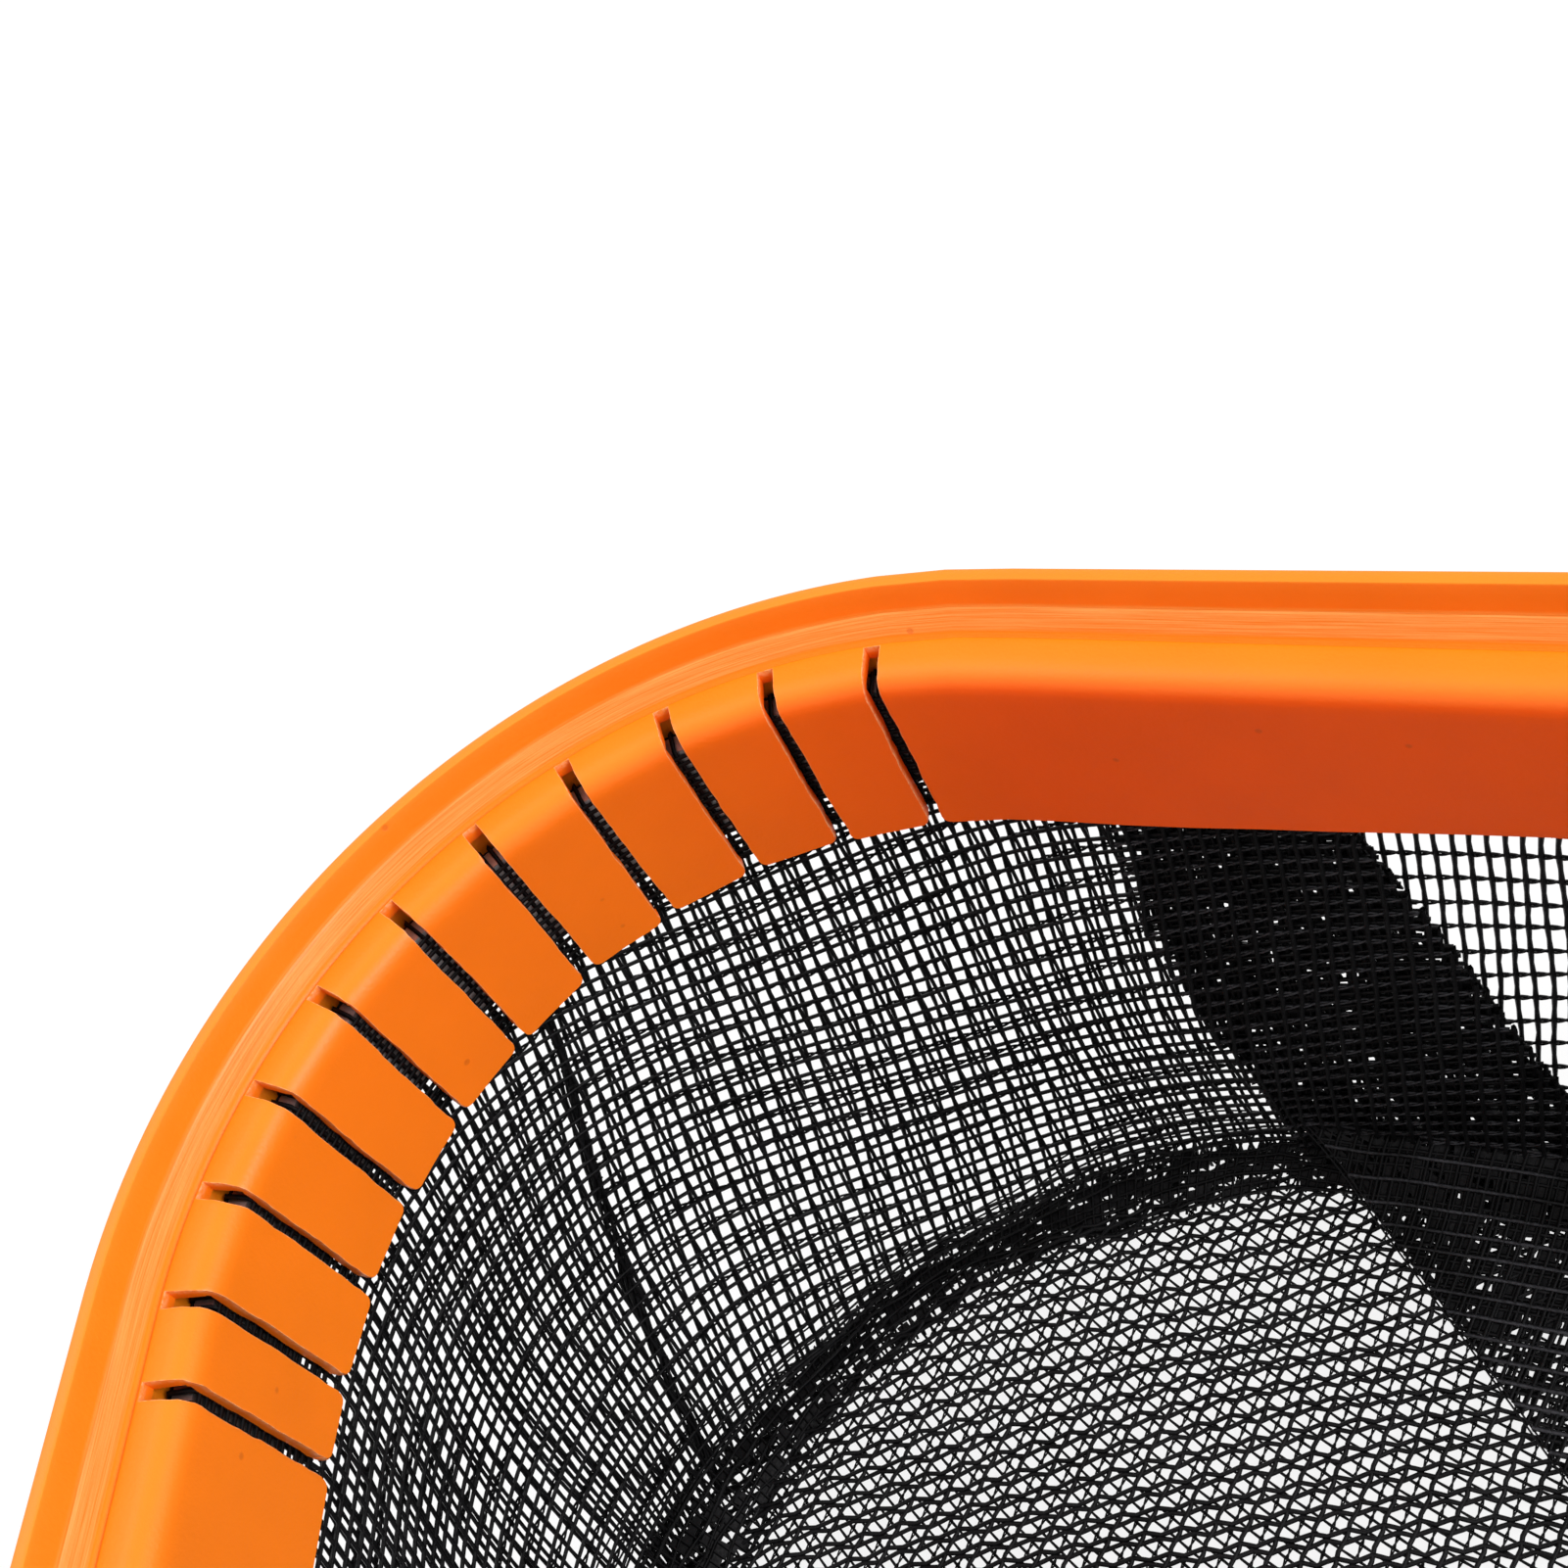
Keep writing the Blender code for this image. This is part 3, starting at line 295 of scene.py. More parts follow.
def link_mesh(name: str, mesh: bpy.types.Mesh) -> Piece:
    """Put a mesh into the scene as an object at the origin."""
    piece = bpy.data.objects.new(name, mesh)
    bpy.context.scene.collection.objects.link(piece)
    return piece


def from_bmesh(name: str, bm: bmesh.types.BMesh) -> bpy.types.Mesh:
    """Turn a working mesh into a finished one."""
    mesh = bpy.data.meshes.new(name)
    bm.to_mesh(mesh)
    bm.free()
    return mesh


def loop_points(mesh: bpy.types.Mesh) -> Array:
    """Number of the point at each face corner."""
    loops = np.zeros(len(mesh.loops), np.int32)
    mesh.loops.foreach_get("vertex_index", loops)
    return loops


def set_map(mesh: bpy.types.Mesh, u: Array, v: Array) -> None:
    """Give a mesh its map, from a place for each face corner."""
    mesh.uv_layers.new(name=BAKE_MAP).data.foreach_set(
        "uv", np.stack((u, v), 1).astype(np.float32).ravel())


def set_values(mesh: bpy.types.Mesh, key: str, values: Array) -> None:
    """Store a number or a vector for each point of a mesh."""
    kind, field = ("FLOAT", "value") if values.ndim == 1 else ("FLOAT_VECTOR", "vector")
    mesh.attributes.new(key, kind, "POINT").data.foreach_set(
        field, values.astype(np.float32).ravel())


def add_modifier(piece: Piece, kind: str, **settings) -> None:
    """Add a modifier with its settings."""
    modifier = piece.modifiers.new(kind.title(), kind)
    for key, value in settings.items():
        setattr(modifier, key, value)


def smooth_by_angle(mesh: bpy.types.Mesh, degrees: float) -> None:
    """Shade a mesh smooth, with sharp edges past an angle."""
    mesh.shade_smooth()
    mesh.set_sharp_from_angle(angle=math.radians(degrees))


def realised(name: str, source: Piece) -> Piece:
    """Turn an object with live modifiers into a plain mesh piece and drop the source."""
    bpy.context.view_layer.update()
    graph = bpy.context.evaluated_depsgraph_get()
    mesh = bpy.data.meshes.new_from_object(source.evaluated_get(graph))
    mesh.name = name
    bpy.data.objects.remove(source)
    return link_mesh(name, mesh)


def dress(piece: Piece, slot: str, *nodes: str) -> Piece:
    """Let a piece ride on the root body in place of some nodes of the frame."""
    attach(piece, ROOT)
    if nodes:
        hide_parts(*nodes)
    LOG.info("%s: %d faces", piece.name, len(piece.data.polygons))
    return piece


# ---- Finishes ----
def new_finish(name: str, colour: str, roughness: float, metallic: float = 0.0,
               sockets: Optional[dict] = None) -> tuple:
    """Start a material.

    Args:
        name: The material's name.
        colour: Base colour in hex, also shown in the viewport.
        roughness: Plain roughness.
        metallic: One for a metal.
        sockets: Other plain values of the shader by input name.

    Returns:
        The material, its node tree, its shader node and its object coordinates.
    """
    made = bpy.data.materials.new(name)
    made.use_nodes = True
    made.diffuse_color = linear(colour)
    tree = made.node_tree
    shader = tree.nodes["Principled BSDF"]
    values = {"Base Color": colour, "Roughness": roughness, "Metallic": metallic}
    for key, value in {**values, **(sockets or {})}.items():
        fill(tree, shader.inputs[key], value)
    return made, tree, shader, add_node(tree, "ShaderNodeTexCoord").outputs["Object"]


def complete(tree: bpy.types.NodeTree, shader: bpy.types.Node, colour: object, rough: dict,
             relief: object, strength: float, depth: float) -> None:
    """Link a shader's colour, its roughness and its relief.

    Args:
        tree: The material's tree.
        shader: Its shader node.
        colour: What gives the colour.
        rough: What varies the roughness, and its range.
        relief: What gives the height.
        strength: Strength of the relief.
        depth: Depth of the relief.
    """
    spread = add_node(tree, "ShaderNodeMapRange", rough)
    bump = add_node(tree, "ShaderNodeBump", {"Strength": strength, "Distance": depth,
                                             "Height": relief})
    for key, node in (("Base Color", colour), ("Roughness", spread), ("Normal", bump)):
        fill(tree, shader.inputs[key], node)


@dataclass(frozen=True)
class ExtrudedPolypropylene:
    """Extruded orange polypropylene: satin skin, fine draw lines along the ramp, whitened cuts, and painted
    shade that deepens the orange on the fins and the lip face.
    """

    name: str = "extruded_orange_polypropylene"
    # top is the lit orange and fin the shaded orange of one plastic: lit and shaded copies, mixed by the
    # depth attribute as painted light and shade.
    top: str = "#ff8a10"
    fin: str = "#ff5a03"
    whitened: str = "#ffc08a"
    speck: str = "#b04408"
    roughness: float = 0.38
    draw_line: float = 0.16 * MM
    cloud: float = 9.0 * MM
    grain: float = 0.35 * MM
    pit: float = 1.1 * MM

    def make(self) -> bpy.types.Material:
        """Build the material; it reads the edge's own along, across, depth, ramp and cut, where depth is
        the share of painted shade.
        """
        made, tree, shader, place = new_finish(self.name, self.top, self.roughness, 0.0, {
            "Specular IOR Level": 0.34, "Subsurface Weight": 0.05, "Subsurface Scale": 1.2 * MM,
            "Subsurface Radius": (1.0, 0.35, 0.1)})
        read = {key: add_node(tree, "ShaderNodeAttribute", attribute_name=key).outputs["Fac"]
                for key in ("along", "across", "depth", "ramp", "cut")}
        clouds, grain = (add_node(tree, "ShaderNodeTexNoise", {
            "Scale": 1 / size, "Detail": detail, "Vector": place})
            for size, detail in ((self.cloud, 3.0), (self.grain, 2.0)))
        strip = add_node(tree, "ShaderNodeCombineXYZ", {"X": read["along"], "Y": read["across"]})
        lanes = add_node(tree, "ShaderNodeVectorMath", {
            0: strip, 1: (0.012 / self.draw_line, 1 / self.draw_line, 0)}, operation="MULTIPLY")
        lines = add_node(tree, "ShaderNodeTexNoise", {"Scale": 1.0, "Detail": 4.0, "Roughness": 0.7,
                                                      "Vector": lanes})
        pits = add_node(tree, "ShaderNodeTexVoronoi", {"Scale": 1 / (self.pit * 6),
                                                       "Vector": place}, feature="F1")
        pits = add_node(tree, "ShaderNodeValToRGB", {0: pits}, [(0.035, 1.0), (0.06, 0.0)])
        shade = add_node(tree, "ShaderNodeValToRGB", {0: clouds}, [(0.25, 0.93), (0.75, 1.0)])
        line_tone = add_node(tree, "ShaderNodeValToRGB", {0: lines}, [(0.35, "#e86a10"),
                                                                      (0.62, "#ffb469")])
        rim = add_node(tree, "ShaderNodeValToRGB", {0: read["cut"]}, [(0.45, 0.0), (0.95, 0.8)])
        torn = add_node(tree, "ShaderNodeValToRGB", {0: grain}, [(0.4, 0.25), (0.6, 1.0)])
        line_mask, burr, pit_mask, drawn = (
            add_node(tree, "ShaderNodeMath", {0: first, 1: second}, operation="MULTIPLY")
            for first, second in ((read["ramp"], 0.5), (rim, torn), (pits, 0.35),
                                  (lines, read["ramp"])))
        # Painted shade first: depth mixes the lit top orange towards the shaded fin orange.
        colour = self.top
        for factor, over, kind in ((read["depth"], self.fin, "MIX"), (1.0, shade, "MULTIPLY"),
                                   (line_mask, line_tone, "MIX"), (burr, self.whitened, "MIX"),
                                   (pit_mask, self.speck, "MIX")):
            colour = add_node(tree, "ShaderNodeMix", {0: factor, 6: colour, 7: over},
                              data_type="RGBA", blend_type=kind).outputs[2]
        relief = add_node(tree, "ShaderNodeMath", {0: drawn, 1: 0.8, 2: grain},
                          operation="MULTIPLY_ADD")
        relief = add_node(tree, "ShaderNodeMath", {0: relief, 1: pits}, operation="SUBTRACT")
        complete(tree, shader, colour, {0: clouds, 3: self.roughness - 0.05,
                                        4: self.roughness + 0.12},
                 relief, 0.22, 0.12 * MM)
        return made


@dataclass(frozen=True)
class KnittedYarn:
    """Black polyester yarn: dull filaments with a random tone, and small grey glints painted into the
    colour in noise patches.
    """

    name: str
    dark: str = "#030304"
    # light is the grey of painted glints.
    light: str = "#161618"
    roughness: float = 0.5
    filament: float = 0.22 * MM
    glint_patch: float = 7 * MM

    def make(self) -> bpy.types.Material:
        """Build the material on object coordinates."""
        made, tree, shader, place = new_finish(self.name, self.dark, self.roughness, 0.0, {
            "Specular IOR Level": 0.14})
        thread, glint_patch = (add_node(tree, "ShaderNodeTexNoise", {
            "Scale": 1 / size, "Detail": detail, "Vector": place})
            for size, detail in ((self.filament, 2.0), (self.glint_patch, 1.0)))
        # Painted glints: where filament noise and glint patches are both high the colour rises from dark to
        # light; the filament noise alone is the yarn's own random tone.
        both = add_node(tree, "ShaderNodeMath", {0: thread, 1: glint_patch}, operation="MULTIPLY")
        colour = add_node(tree, "ShaderNodeValToRGB", {0: both}, [(0.12, self.dark), (0.42, self.light)])
        complete(tree, shader, colour,
                 {0: thread, 3: self.roughness + 0.2, 4: self.roughness - 0.14},
                 thread, 0.5, 0.05 * MM)
        return made


@dataclass(frozen=True)
class MouldedNylon:
    """Glass-filled black nylon, injection moulded: fine spark grain and a satin sheen."""

    name: str = "moulded_black_nylon"
    dark: str = "#141416"
    light: str = "#232326"
    roughness: float = 0.46
    grain: float = 0.45 * MM
    flow: float = 14 * MM

    def make(self) -> bpy.types.Material:
        """Build the material on object coordinates."""
        made, tree, shader, place = new_finish(self.name, self.dark, self.roughness)
        grain, flow = (add_node(tree, "ShaderNodeTexNoise", {
            "Scale": 1 / size, "Detail": detail, "Vector": place})
            for size, detail in ((self.grain, 3.0), (self.flow, 2.0)))
        colour = add_node(tree, "ShaderNodeValToRGB", {0: flow}, [(0.3, self.dark), (0.75, self.light)])
        complete(tree, shader, colour,
                 {0: flow, 3: self.roughness - 0.08, 4: self.roughness + 0.12},
                 grain, 0.35, 0.06 * MM)
        return made


@dataclass(frozen=True)
class DrawnMetal:
    """Drawn, rolled or turned metal: streaks along one axis, with faint handling marks."""

    name: str
    colour: str
    streak: str
    roughness: float
    squash: tuple = (1.0, 0.03, 1.0)
    pitch: float = 0.35 * MM
    mark: float = 18 * MM

    def make(self) -> bpy.types.Material:
        """Build the material on object coordinates drawn out along the streaks."""
        made, tree, shader, place = new_finish(self.name, self.colour, self.roughness, 1.0)
        drawn = add_node(tree, "ShaderNodeMapping", {"Scale": self.squash, "Vector": place})
        streaks = add_node(tree, "ShaderNodeTexNoise", {
            "Scale": 1 / self.pitch, "Detail": 3.0, "Roughness": 0.65, "Vector": drawn})
        marks = add_node(tree, "ShaderNodeTexNoise", {"Scale": 1 / self.mark, "Detail": 4.0,
                                                      "Vector": place})
        both = add_node(tree, "ShaderNodeMath", {0: streaks, 1: marks}, operation="MULTIPLY")
        spread = {0: both, 1: 0.1, 2: 0.5, 3: self.roughness + 0.1, 4: self.roughness - 0.06}
        colour = add_node(tree, "ShaderNodeValToRGB", {0: streaks},
                          [(0.3, self.streak), (0.62, self.colour)])
        complete(tree, shader, colour,
                 spread, streaks, 0.25, 0.03 * MM)
        return made


class Finish(Enum):
    """The finishes of the net's pieces."""

    EDGE = ExtrudedPolypropylene()
    # Each yarn's second colour is the grey of its painted glints.
    NET = KnittedYarn("black_polyester_yarn")
    SEAM = KnittedYarn("black_sewn_polyester", "#020203", "#101012", 0.6, 0.3 * MM)
    # Painted glints: the doubled ribbons' grey is painted glint on black yarn.
    RIBBON = KnittedYarn("grey_black_doubled_polyester", "#0a0a0b", "#3a3a3e", 0.48, 0.4 * MM)
    NYLON = MouldedNylon()
    TUBE = DrawnMetal("drawn_anodised_aluminium", "#cfd0d3", "#bcbdc1", 0.3)
    STRIP = DrawnMetal("rolled_mill_aluminium", "#c9c6c6", "#aaa7a8", 0.36, (0.2, 0.2, 1.0))
    STEEL = DrawnMetal("turned_stainless_steel", "#b9b8b6", "#a3a2a0", 0.24, (1.0, 1.0, 1.0))
    SPRING = DrawnMetal("rolled_spring_steel", "#b3b2b3", "#979698", 0.28, (1.0, 0.05, 1.0))

    def paint(self, mesh: bpy.types.Mesh) -> None:
        """Give a mesh this finish alone."""
        mesh.materials.clear()
        mesh.materials.append(self.material())

    def material(self) -> bpy.types.Material:
        """The finish's material, made on first use."""
        return bpy.data.materials.get(self.value.name) or self.value.make()


# ---- Geometry node trees ----
class NodeTree:
    """A geometry node tree with named inputs, and the modifier that runs it once."""

    def __init__(self, name: str, **inputs: str) -> None:
        """Start a tree.

        Args:
            name: The tree's name.
            **inputs: Socket types by input name, besides the geometry and the finish.
        """
        self.group = bpy.data.node_groups.new(name, "GeometryNodeTree")
        for key, kind in {"Geometry": "Geometry", "Finish": "Material", **inputs}.items():
            self.group.interface.new_socket(key, in_out="INPUT", socket_type=f"NodeSocket{kind}")
        self.group.interface.new_socket("Geometry", in_out="OUTPUT", socket_type="NodeSocketGeometry")
        self.entry = add_node(self.group, "NodeGroupInput").outputs

    def close(self, geometry: bpy.types.Node) -> None:
        """End the tree in real geometry with the finish that it is given."""
        real = add_node(self.group, "GeometryNodeRealizeInstances", {0: geometry})
        painted = add_node(self.group, "GeometryNodeSetMaterial", {
            "Geometry": real, "Material": self.entry["Finish"]})
        add_node(self.group, "NodeGroupOutput", {0: painted})

    def run(self, name: str, source: Piece, values: dict) -> Piece:
        """Run the tree on an object and keep the result as a plain mesh.

        Args:
            name: The new piece's name.
            source: The object that feeds the tree; it is removed.
            values: Input values by name.

        Returns:
            The finished piece.
        """
        modifier = source.modifiers.new(self.group.name, "NODES")
        modifier.node_group = self.group
        sockets = {item.name: item.identifier for item in self.group.interface.items_tree
                   if item.in_out == "INPUT"}
        for key, value in values.items():
            modifier[sockets[key]] = value
        return realised(name, source)


class YarnTree(NodeTree):
    """Turns edges with a girth into round yarns."""

    def __init__(self) -> None:
        """Build the tree: curves from the edges, swept with a circle."""
        super().__init__("yarns_from_lines", Sides="Int", Thickness="Float")
        lines = add_node(self.group, "GeometryNodeMeshToCurve", {0: self.entry["Geometry"]})
        girth = add_node(self.group, "GeometryNodeInputNamedAttribute", {"Name": "girth"},
                         data_type="FLOAT")
        size = add_node(self.group, "ShaderNodeMath", {0: girth, 1: self.entry["Thickness"]},
                        operation="MULTIPLY")
        circle = add_node(self.group, "GeometryNodeCurvePrimitiveCircle", {
            "Radius": 1.0, "Resolution": self.entry["Sides"]})
        swept = add_node(self.group, "GeometryNodeCurveToMesh", {
            "Curve": lines, "Profile Curve": circle, "Scale": size})
        self.close(add_node(self.group, "GeometryNodeSetShadeSmooth", {
            "Shade Smooth": True, "Geometry": swept}))


class ScatterTree(NodeTree):
    """Puts a copy of one mesh at each point, turned about by the points' own angles."""

    def __init__(self) -> None:
        """Build the tree: instances on points with a turn attribute."""
        super().__init__("copies_on_points", Shape="Object", Size="Float")
        shape = add_node(self.group, "GeometryNodeObjectInfo", {
            "Object": self.entry["Shape"]}, transform_space="ORIGINAL")
        turn = add_node(self.group, "GeometryNodeInputNamedAttribute", {"Name": "turn"},
                        data_type="FLOAT_VECTOR")
        size = add_node(self.group, "ShaderNodeCombineXYZ", {
            axis: self.entry["Size"] for axis in range(3)})
        self.close(add_node(self.group, "GeometryNodeInstanceOnPoints", {
            "Points": self.entry["Geometry"], "Instance": shape.outputs["Geometry"],
            "Rotation": turn, "Scale": size}))


# ---- Yarns ----
class YarnSet:
    """Lines of yarn, gathered as points, edges, girths and places in the cloth."""

    def __init__(self) -> None:
        """Start an empty set."""
        self.points, self.edges, self.girths, self.cloth = [], [], [], []
        self.count = 0

    def add(self, points: Array, girth: Array, keep: Optional[Array] = None) -> None:
        """Add rows of yarn, cut where the keep value falls to zero.

        Args:
            points: Array of rows, points and coordinates.
            girth: Radius of the yarn at each point.
            keep: Positive where the cloth is, negative outside it; without it all is kept.
        """
        keep = np.ones(points.shape[:2]) if keep is None else keep
        rows, places = keep.shape
        girth = np.broadcast_to(girth, keep.shape)
        index = np.arange(rows * places).reshape(rows, places)
        first, second = index[:, :-1].ravel(), index[:, 1:].ravel()
        flat, size, value = points.reshape(-1, 3), girth.ravel(), keep.ravel()
        cloth = np.stack(np.broadcast_arrays(np.arange(places)[None, :] / max(places, 2),
                                             np.arange(rows)[:, None] / rows), -1).reshape(-1, 2)
        inside = value > 0
        whole = inside[first] & inside[second]
        cut = inside[first] != inside[second]
        start = np.where(inside[first], first, second)[cut]
        end = np.where(inside[first], second, first)[cut]
        share = (value[start] / (value[start] - value[end]))[:, None]
        fresh = np.arange(len(start)) + len(flat)
        flat = np.concatenate((flat, flat[start] + (flat[end] - flat[start]) * share))
        size = np.concatenate((size, size[start]))
        cloth = np.concatenate((cloth, cloth[start] + (cloth[end] - cloth[start]) * share))
        edges = np.concatenate((np.stack((first[whole], second[whole]), 1),
                                np.stack((start, fresh), 1)))
        used, numbers = np.unique(edges, return_inverse=True)
        if not len(used):
            return
        self.points.append(flat[used])
        self.girths.append(size[used])
        self.cloth.append(cloth[used])
        self.edges.append(numbers.reshape(-1, 2) + self.count)
        self.count += len(used)

    def piece(self, name: str, tree: YarnTree, finish: Finish, sides: int) -> Piece:
        """Make the yarns solid.

        Args:
            name: The piece's name.
            tree: The tree that sweeps the yarns.
            finish: The yarn's finish.
            sides: Sides of the yarn's section.

        Returns:
            The piece, with a map laid out yarn by yarn.
        """
        points, edges = np.concatenate(self.points), np.concatenate(self.edges)
        mesh = bpy.data.meshes.new(name)
        mesh.vertices.add(len(points))
        mesh.vertices.foreach_set("co", points.astype(np.float32).ravel())
        mesh.edges.add(len(edges))
        mesh.edges.foreach_set("vertices", edges.astype(np.int32).ravel())
        for key, values in (("girth", np.concatenate(self.girths)),
                            ("cloth_u", np.concatenate(self.cloth)[:, 0]),
                            ("cloth_v", np.concatenate(self.cloth)[:, 1])):
            set_values(mesh, key, values)
        made = tree.run(name, link_mesh(f"{name}_lines", mesh), {
            "Sides": sides, "Thickness": 1.0, "Finish": finish.material()})
        self.lay_out(made.data, sides)
        return made

    @staticmethod
    def lay_out(mesh: bpy.types.Mesh, sides: int) -> None:
        """Give a swept mesh its map: along the yarn, and round it beside its place."""
        loops = loop_points(mesh)
        along, place = (np.zeros(len(mesh.vertices), np.float32) for _ in range(2))
        mesh.attributes["cloth_u"].data.foreach_get("value", along)
        mesh.attributes["cloth_v"].data.foreach_get("value", place)
        side = (loops % sides).reshape(-1, 4)
        side = np.where((side == 0) & (side.max(1, keepdims=True) == sides - 1), sides, side)
        spread = place[loops] + side.ravel() / sides * 0.002
        set_map(mesh, along[loops], spread)
        for key in ("cloth_u", "cloth_v", "girth"):
            if key in mesh.attributes:
                mesh.attributes.remove(mesh.attributes[key])


def joined(name: str, pieces: Sequence) -> Piece:
    """Join finished pieces into the first one."""
    if len(pieces) > 1:
        with bpy.context.temp_override(active_object=pieces[0],
                                       selected_editable_objects=list(pieces)):
            bpy.ops.object.join()
    pieces[0].name = name
    pieces[0].data.name = name
    return pieces[0]


# ---- Scoop edge ----
@dataclass
class ScoopEdge:
    """The orange edge: lip, ramp, groove and channel in one strip, slit into fingers at the bends."""

    rail: Rail
    end_x: float
    lip: tuple = (3.7 * MM, 5.0 * MM)
    fin_length: float = 20.6 * MM
    shoulder: float = 2.3 * MM
    first_slit: float = 12.4 * MM
    slit_pitch: float = 10.0 * MM
    front_slits: int = 11
    rear_slits: int = 7
    half_gap: tuple = (0.75 * MM, 0.88 * MM)
    tip_round: float = 1.0 * MM
    long_step: float = 6.0 * MM
    finger_step: float = 1.3 * MM
    map_rows: int = 5

    def slits(self) -> list:
        """Stations of the slits, which wandered a little as they were sawn by eye."""
        starts = self.rail.starts()
        found = []
        for number in range(self.front_slits):
            drift = 0.75 * MM * math.sin(math.pi * (number - 2.2) / 6.4)
            if number == self.front_slits - 1:
                drift -= 2.1 * MM
            place = self.first_slit + self.slit_pitch * number + drift
            found += [starts[4] + place, starts[3] - place]
        lead = (starts[1] - (self.rear_slits - 1) * self.slit_pitch) / 2
        for number in range(self.rear_slits):
            wander = 0.5 * MM * math.sin(2.3 * number)
            found += [lead + self.slit_pitch * number + wander,
                      starts[7] - lead - self.slit_pitch * number + wander]
        return sorted(found)

    def outer_chain(self) -> list:
        """Section points (inset, rise) over the crown and down the bag side of the fin."""
        knee = 2.05 * MM
        points = [(share * knee, -0.09 * MM * share) for share in (0, 0.22, 0.5, 0.78, 1)]
        for step in range(1, 6):
            angle = math.radians(90 - 18 * step)
            points.append((knee + self.shoulder * math.cos(angle),
                           self.shoulder * (math.sin(angle) - 1) - 0.09 * MM))
        fall = self.fin_length - self.shoulder - 0.4 * MM
        for step in range(1, 19):
            share = step / 18
            points.append(((4.35 + 0.38 * share) * MM, -self.shoulder - 0.09 * MM - fall * share))
        return points + [(4.66 * MM, -self.fin_length + 0.1 * MM), (4.4 * MM, -self.fin_length)]

    def inner_chain(self) -> list:
        """Section points under the crown and down the fin's hidden face, one for each outer one."""
        wall = 1.5 * MM
        points = [(share * 2.75 * MM, -wall) for share in (0, 0.25, 0.5, 0.75, 1)]
        for step in range(1, 6):
            angle = math.radians(90 - 18 * step)
            points.append((2.75 * MM + 0.4 * MM * math.cos(angle),
                           -wall + 0.4 * MM * (math.sin(angle) - 1)))
        fall = self.fin_length - wall - 0.8 * MM
        for step in range(1, 19):
            share = step / 18
            points.append(((3.15 + 0.38 * share) * MM, -wall - 0.4 * MM - fall * share))
        return points + [(3.62 * MM, -self.fin_length + 0.1 * MM), (3.85 * MM, -self.fin_length)]

    def base_chain(self) -> list:
        """Section points from under the crown round the leg, the lip and the ramp to the crown."""
        out, top = self.lip
        leg = [(-0.05, -1.5), (-0.28, -1.57), (-0.42, -1.74), (-0.45, -2.0), (-0.45, -7.5),
               (-0.45, -12.5), (-0.45, -17.35), (0.02, -17.6), (0.05, -17.75), (-0.42, -18.45),
               (-0.55, -18.5), (-1.6, -18.5), (-1.71, -18.46), (-1.75, -18.35), (-1.75, -14.0),
               (-1.75, -9.5), (-1.75, -5.5), (-1.78, -2.6), (-1.95, -1.4), (-2.45, 0.4),
               (-3.0, 2.4), (-3.5, 4.2)]
        lip = [(-out / MM, top / MM - 0.3), (-out / MM + 0.08, top / MM - 0.08),
               (-out / MM + 0.28, top / MM), (-3.0, top / MM), (-2.58, top / MM),
               (-2.42, top / MM - 0.05), (-2.34, top / MM - 0.2), (-2.1, 3.7), (-1.84, 2.6)]
        ramp_edge = [(-1.74, 2.16), (-1.62, 2.06), (-1.52, 1.86)]
        ramp_face = [(-1.3, 1.4), (-1.05, 0.9), (-0.85, 0.42)]
        groove = [(-0.72, 0.1), (-0.6, -0.22), (-0.5, -0.3), (-0.4, -0.24), (-0.26, -0.06),
                  (-0.12, -0.01)]
        return [(x * MM, z * MM) for x, z in leg + lip + ramp_edge + ramp_face + groove]

    def spans(self) -> list:
        """Begin and end of each finger or long run, with whether it ends free at a slit."""
        starts = self.rail.starts()
        rear_half = (starts[8] - starts[7]) / 2
        begin = -(rear_half - self.end_x)
        end = starts[7] + rear_half - self.end_x
        cuts = self.slits()
        return list(zip([begin] + cuts, cuts + [end]))

    def columns(self, width: float) -> Array:
        """Distances of the section's copies along a span, close together at its cut ends."""
        near = np.array([0.0, 0.1, 0.28, 0.55, 0.95]) * MM
        step = self.finger_step if width < 2 * self.slit_pitch else self.long_step
        count = max(2, int(round((width - 2 * near[-1]) / step)))
        middle = np.linspace(near[-1], width - near[-1], count + 1)
        return np.concatenate((near[:-1], middle, width - near[:-1][::-1]))

    def finger(self, number: int, begin: float, end: float, ends: tuple) -> tuple:
        """Points of one span of the edge.

        Args:
            number: The span's number, which seeds its own small errors.
            begin: Station where it begins.
            end: Station where it ends.
            ends: Whether it begins and ends at the edge's own ends.

        Returns:
            Points by column and section place, and how far each is from a cut.
        """
        outer, inner, base = (np.array(chain) for chain in
                              (self.outer_chain(), self.inner_chain(), self.base_chain()))
        chain = np.concatenate((outer, inner[::-1], base))
        pairs, count = len(outer), len(chain)
        order = np.concatenate((np.arange(pairs), np.arange(pairs)[::-1], np.zeros(len(base), int)))
        fall = np.clip(-outer[:, 1] / self.fin_length, 0, 1)[order]
        reach = np.concatenate(([0.0], np.cumsum(np.hypot(*np.diff(outer, axis=0).T))))[order]
        on_base = np.arange(count) >= 2 * pairs
        free = np.where(on_base, 0.0, np.clip(reach / (3 * MM), 0, 1))

        gap = self.half_gap[0] + (self.half_gap[1] - self.half_gap[0]) * fall
        rough, rough_end, sway = (
            size * noise_1d(reach / pitch, 31 * number + seed) * free
            for size, pitch, seed in ((0.1 * MM, 0.9 * MM, 5), (0.1 * MM, 0.9 * MM, 9),
                                      (0.16 * MM, 7 * MM, 13)))
        low = begin + (not ends[0]) * (gap + rough + sway)
        high = end - (not ends[1]) * (gap + rough_end - sway)
        width = end - begin
        marks = self.columns(width)
        share = (marks / width)[:, None]
        station = low + (high - low) * share
        from_cut = np.minimum(np.where(ends[0], 1.0, marks), np.where(ends[1], 1.0, width - marks))

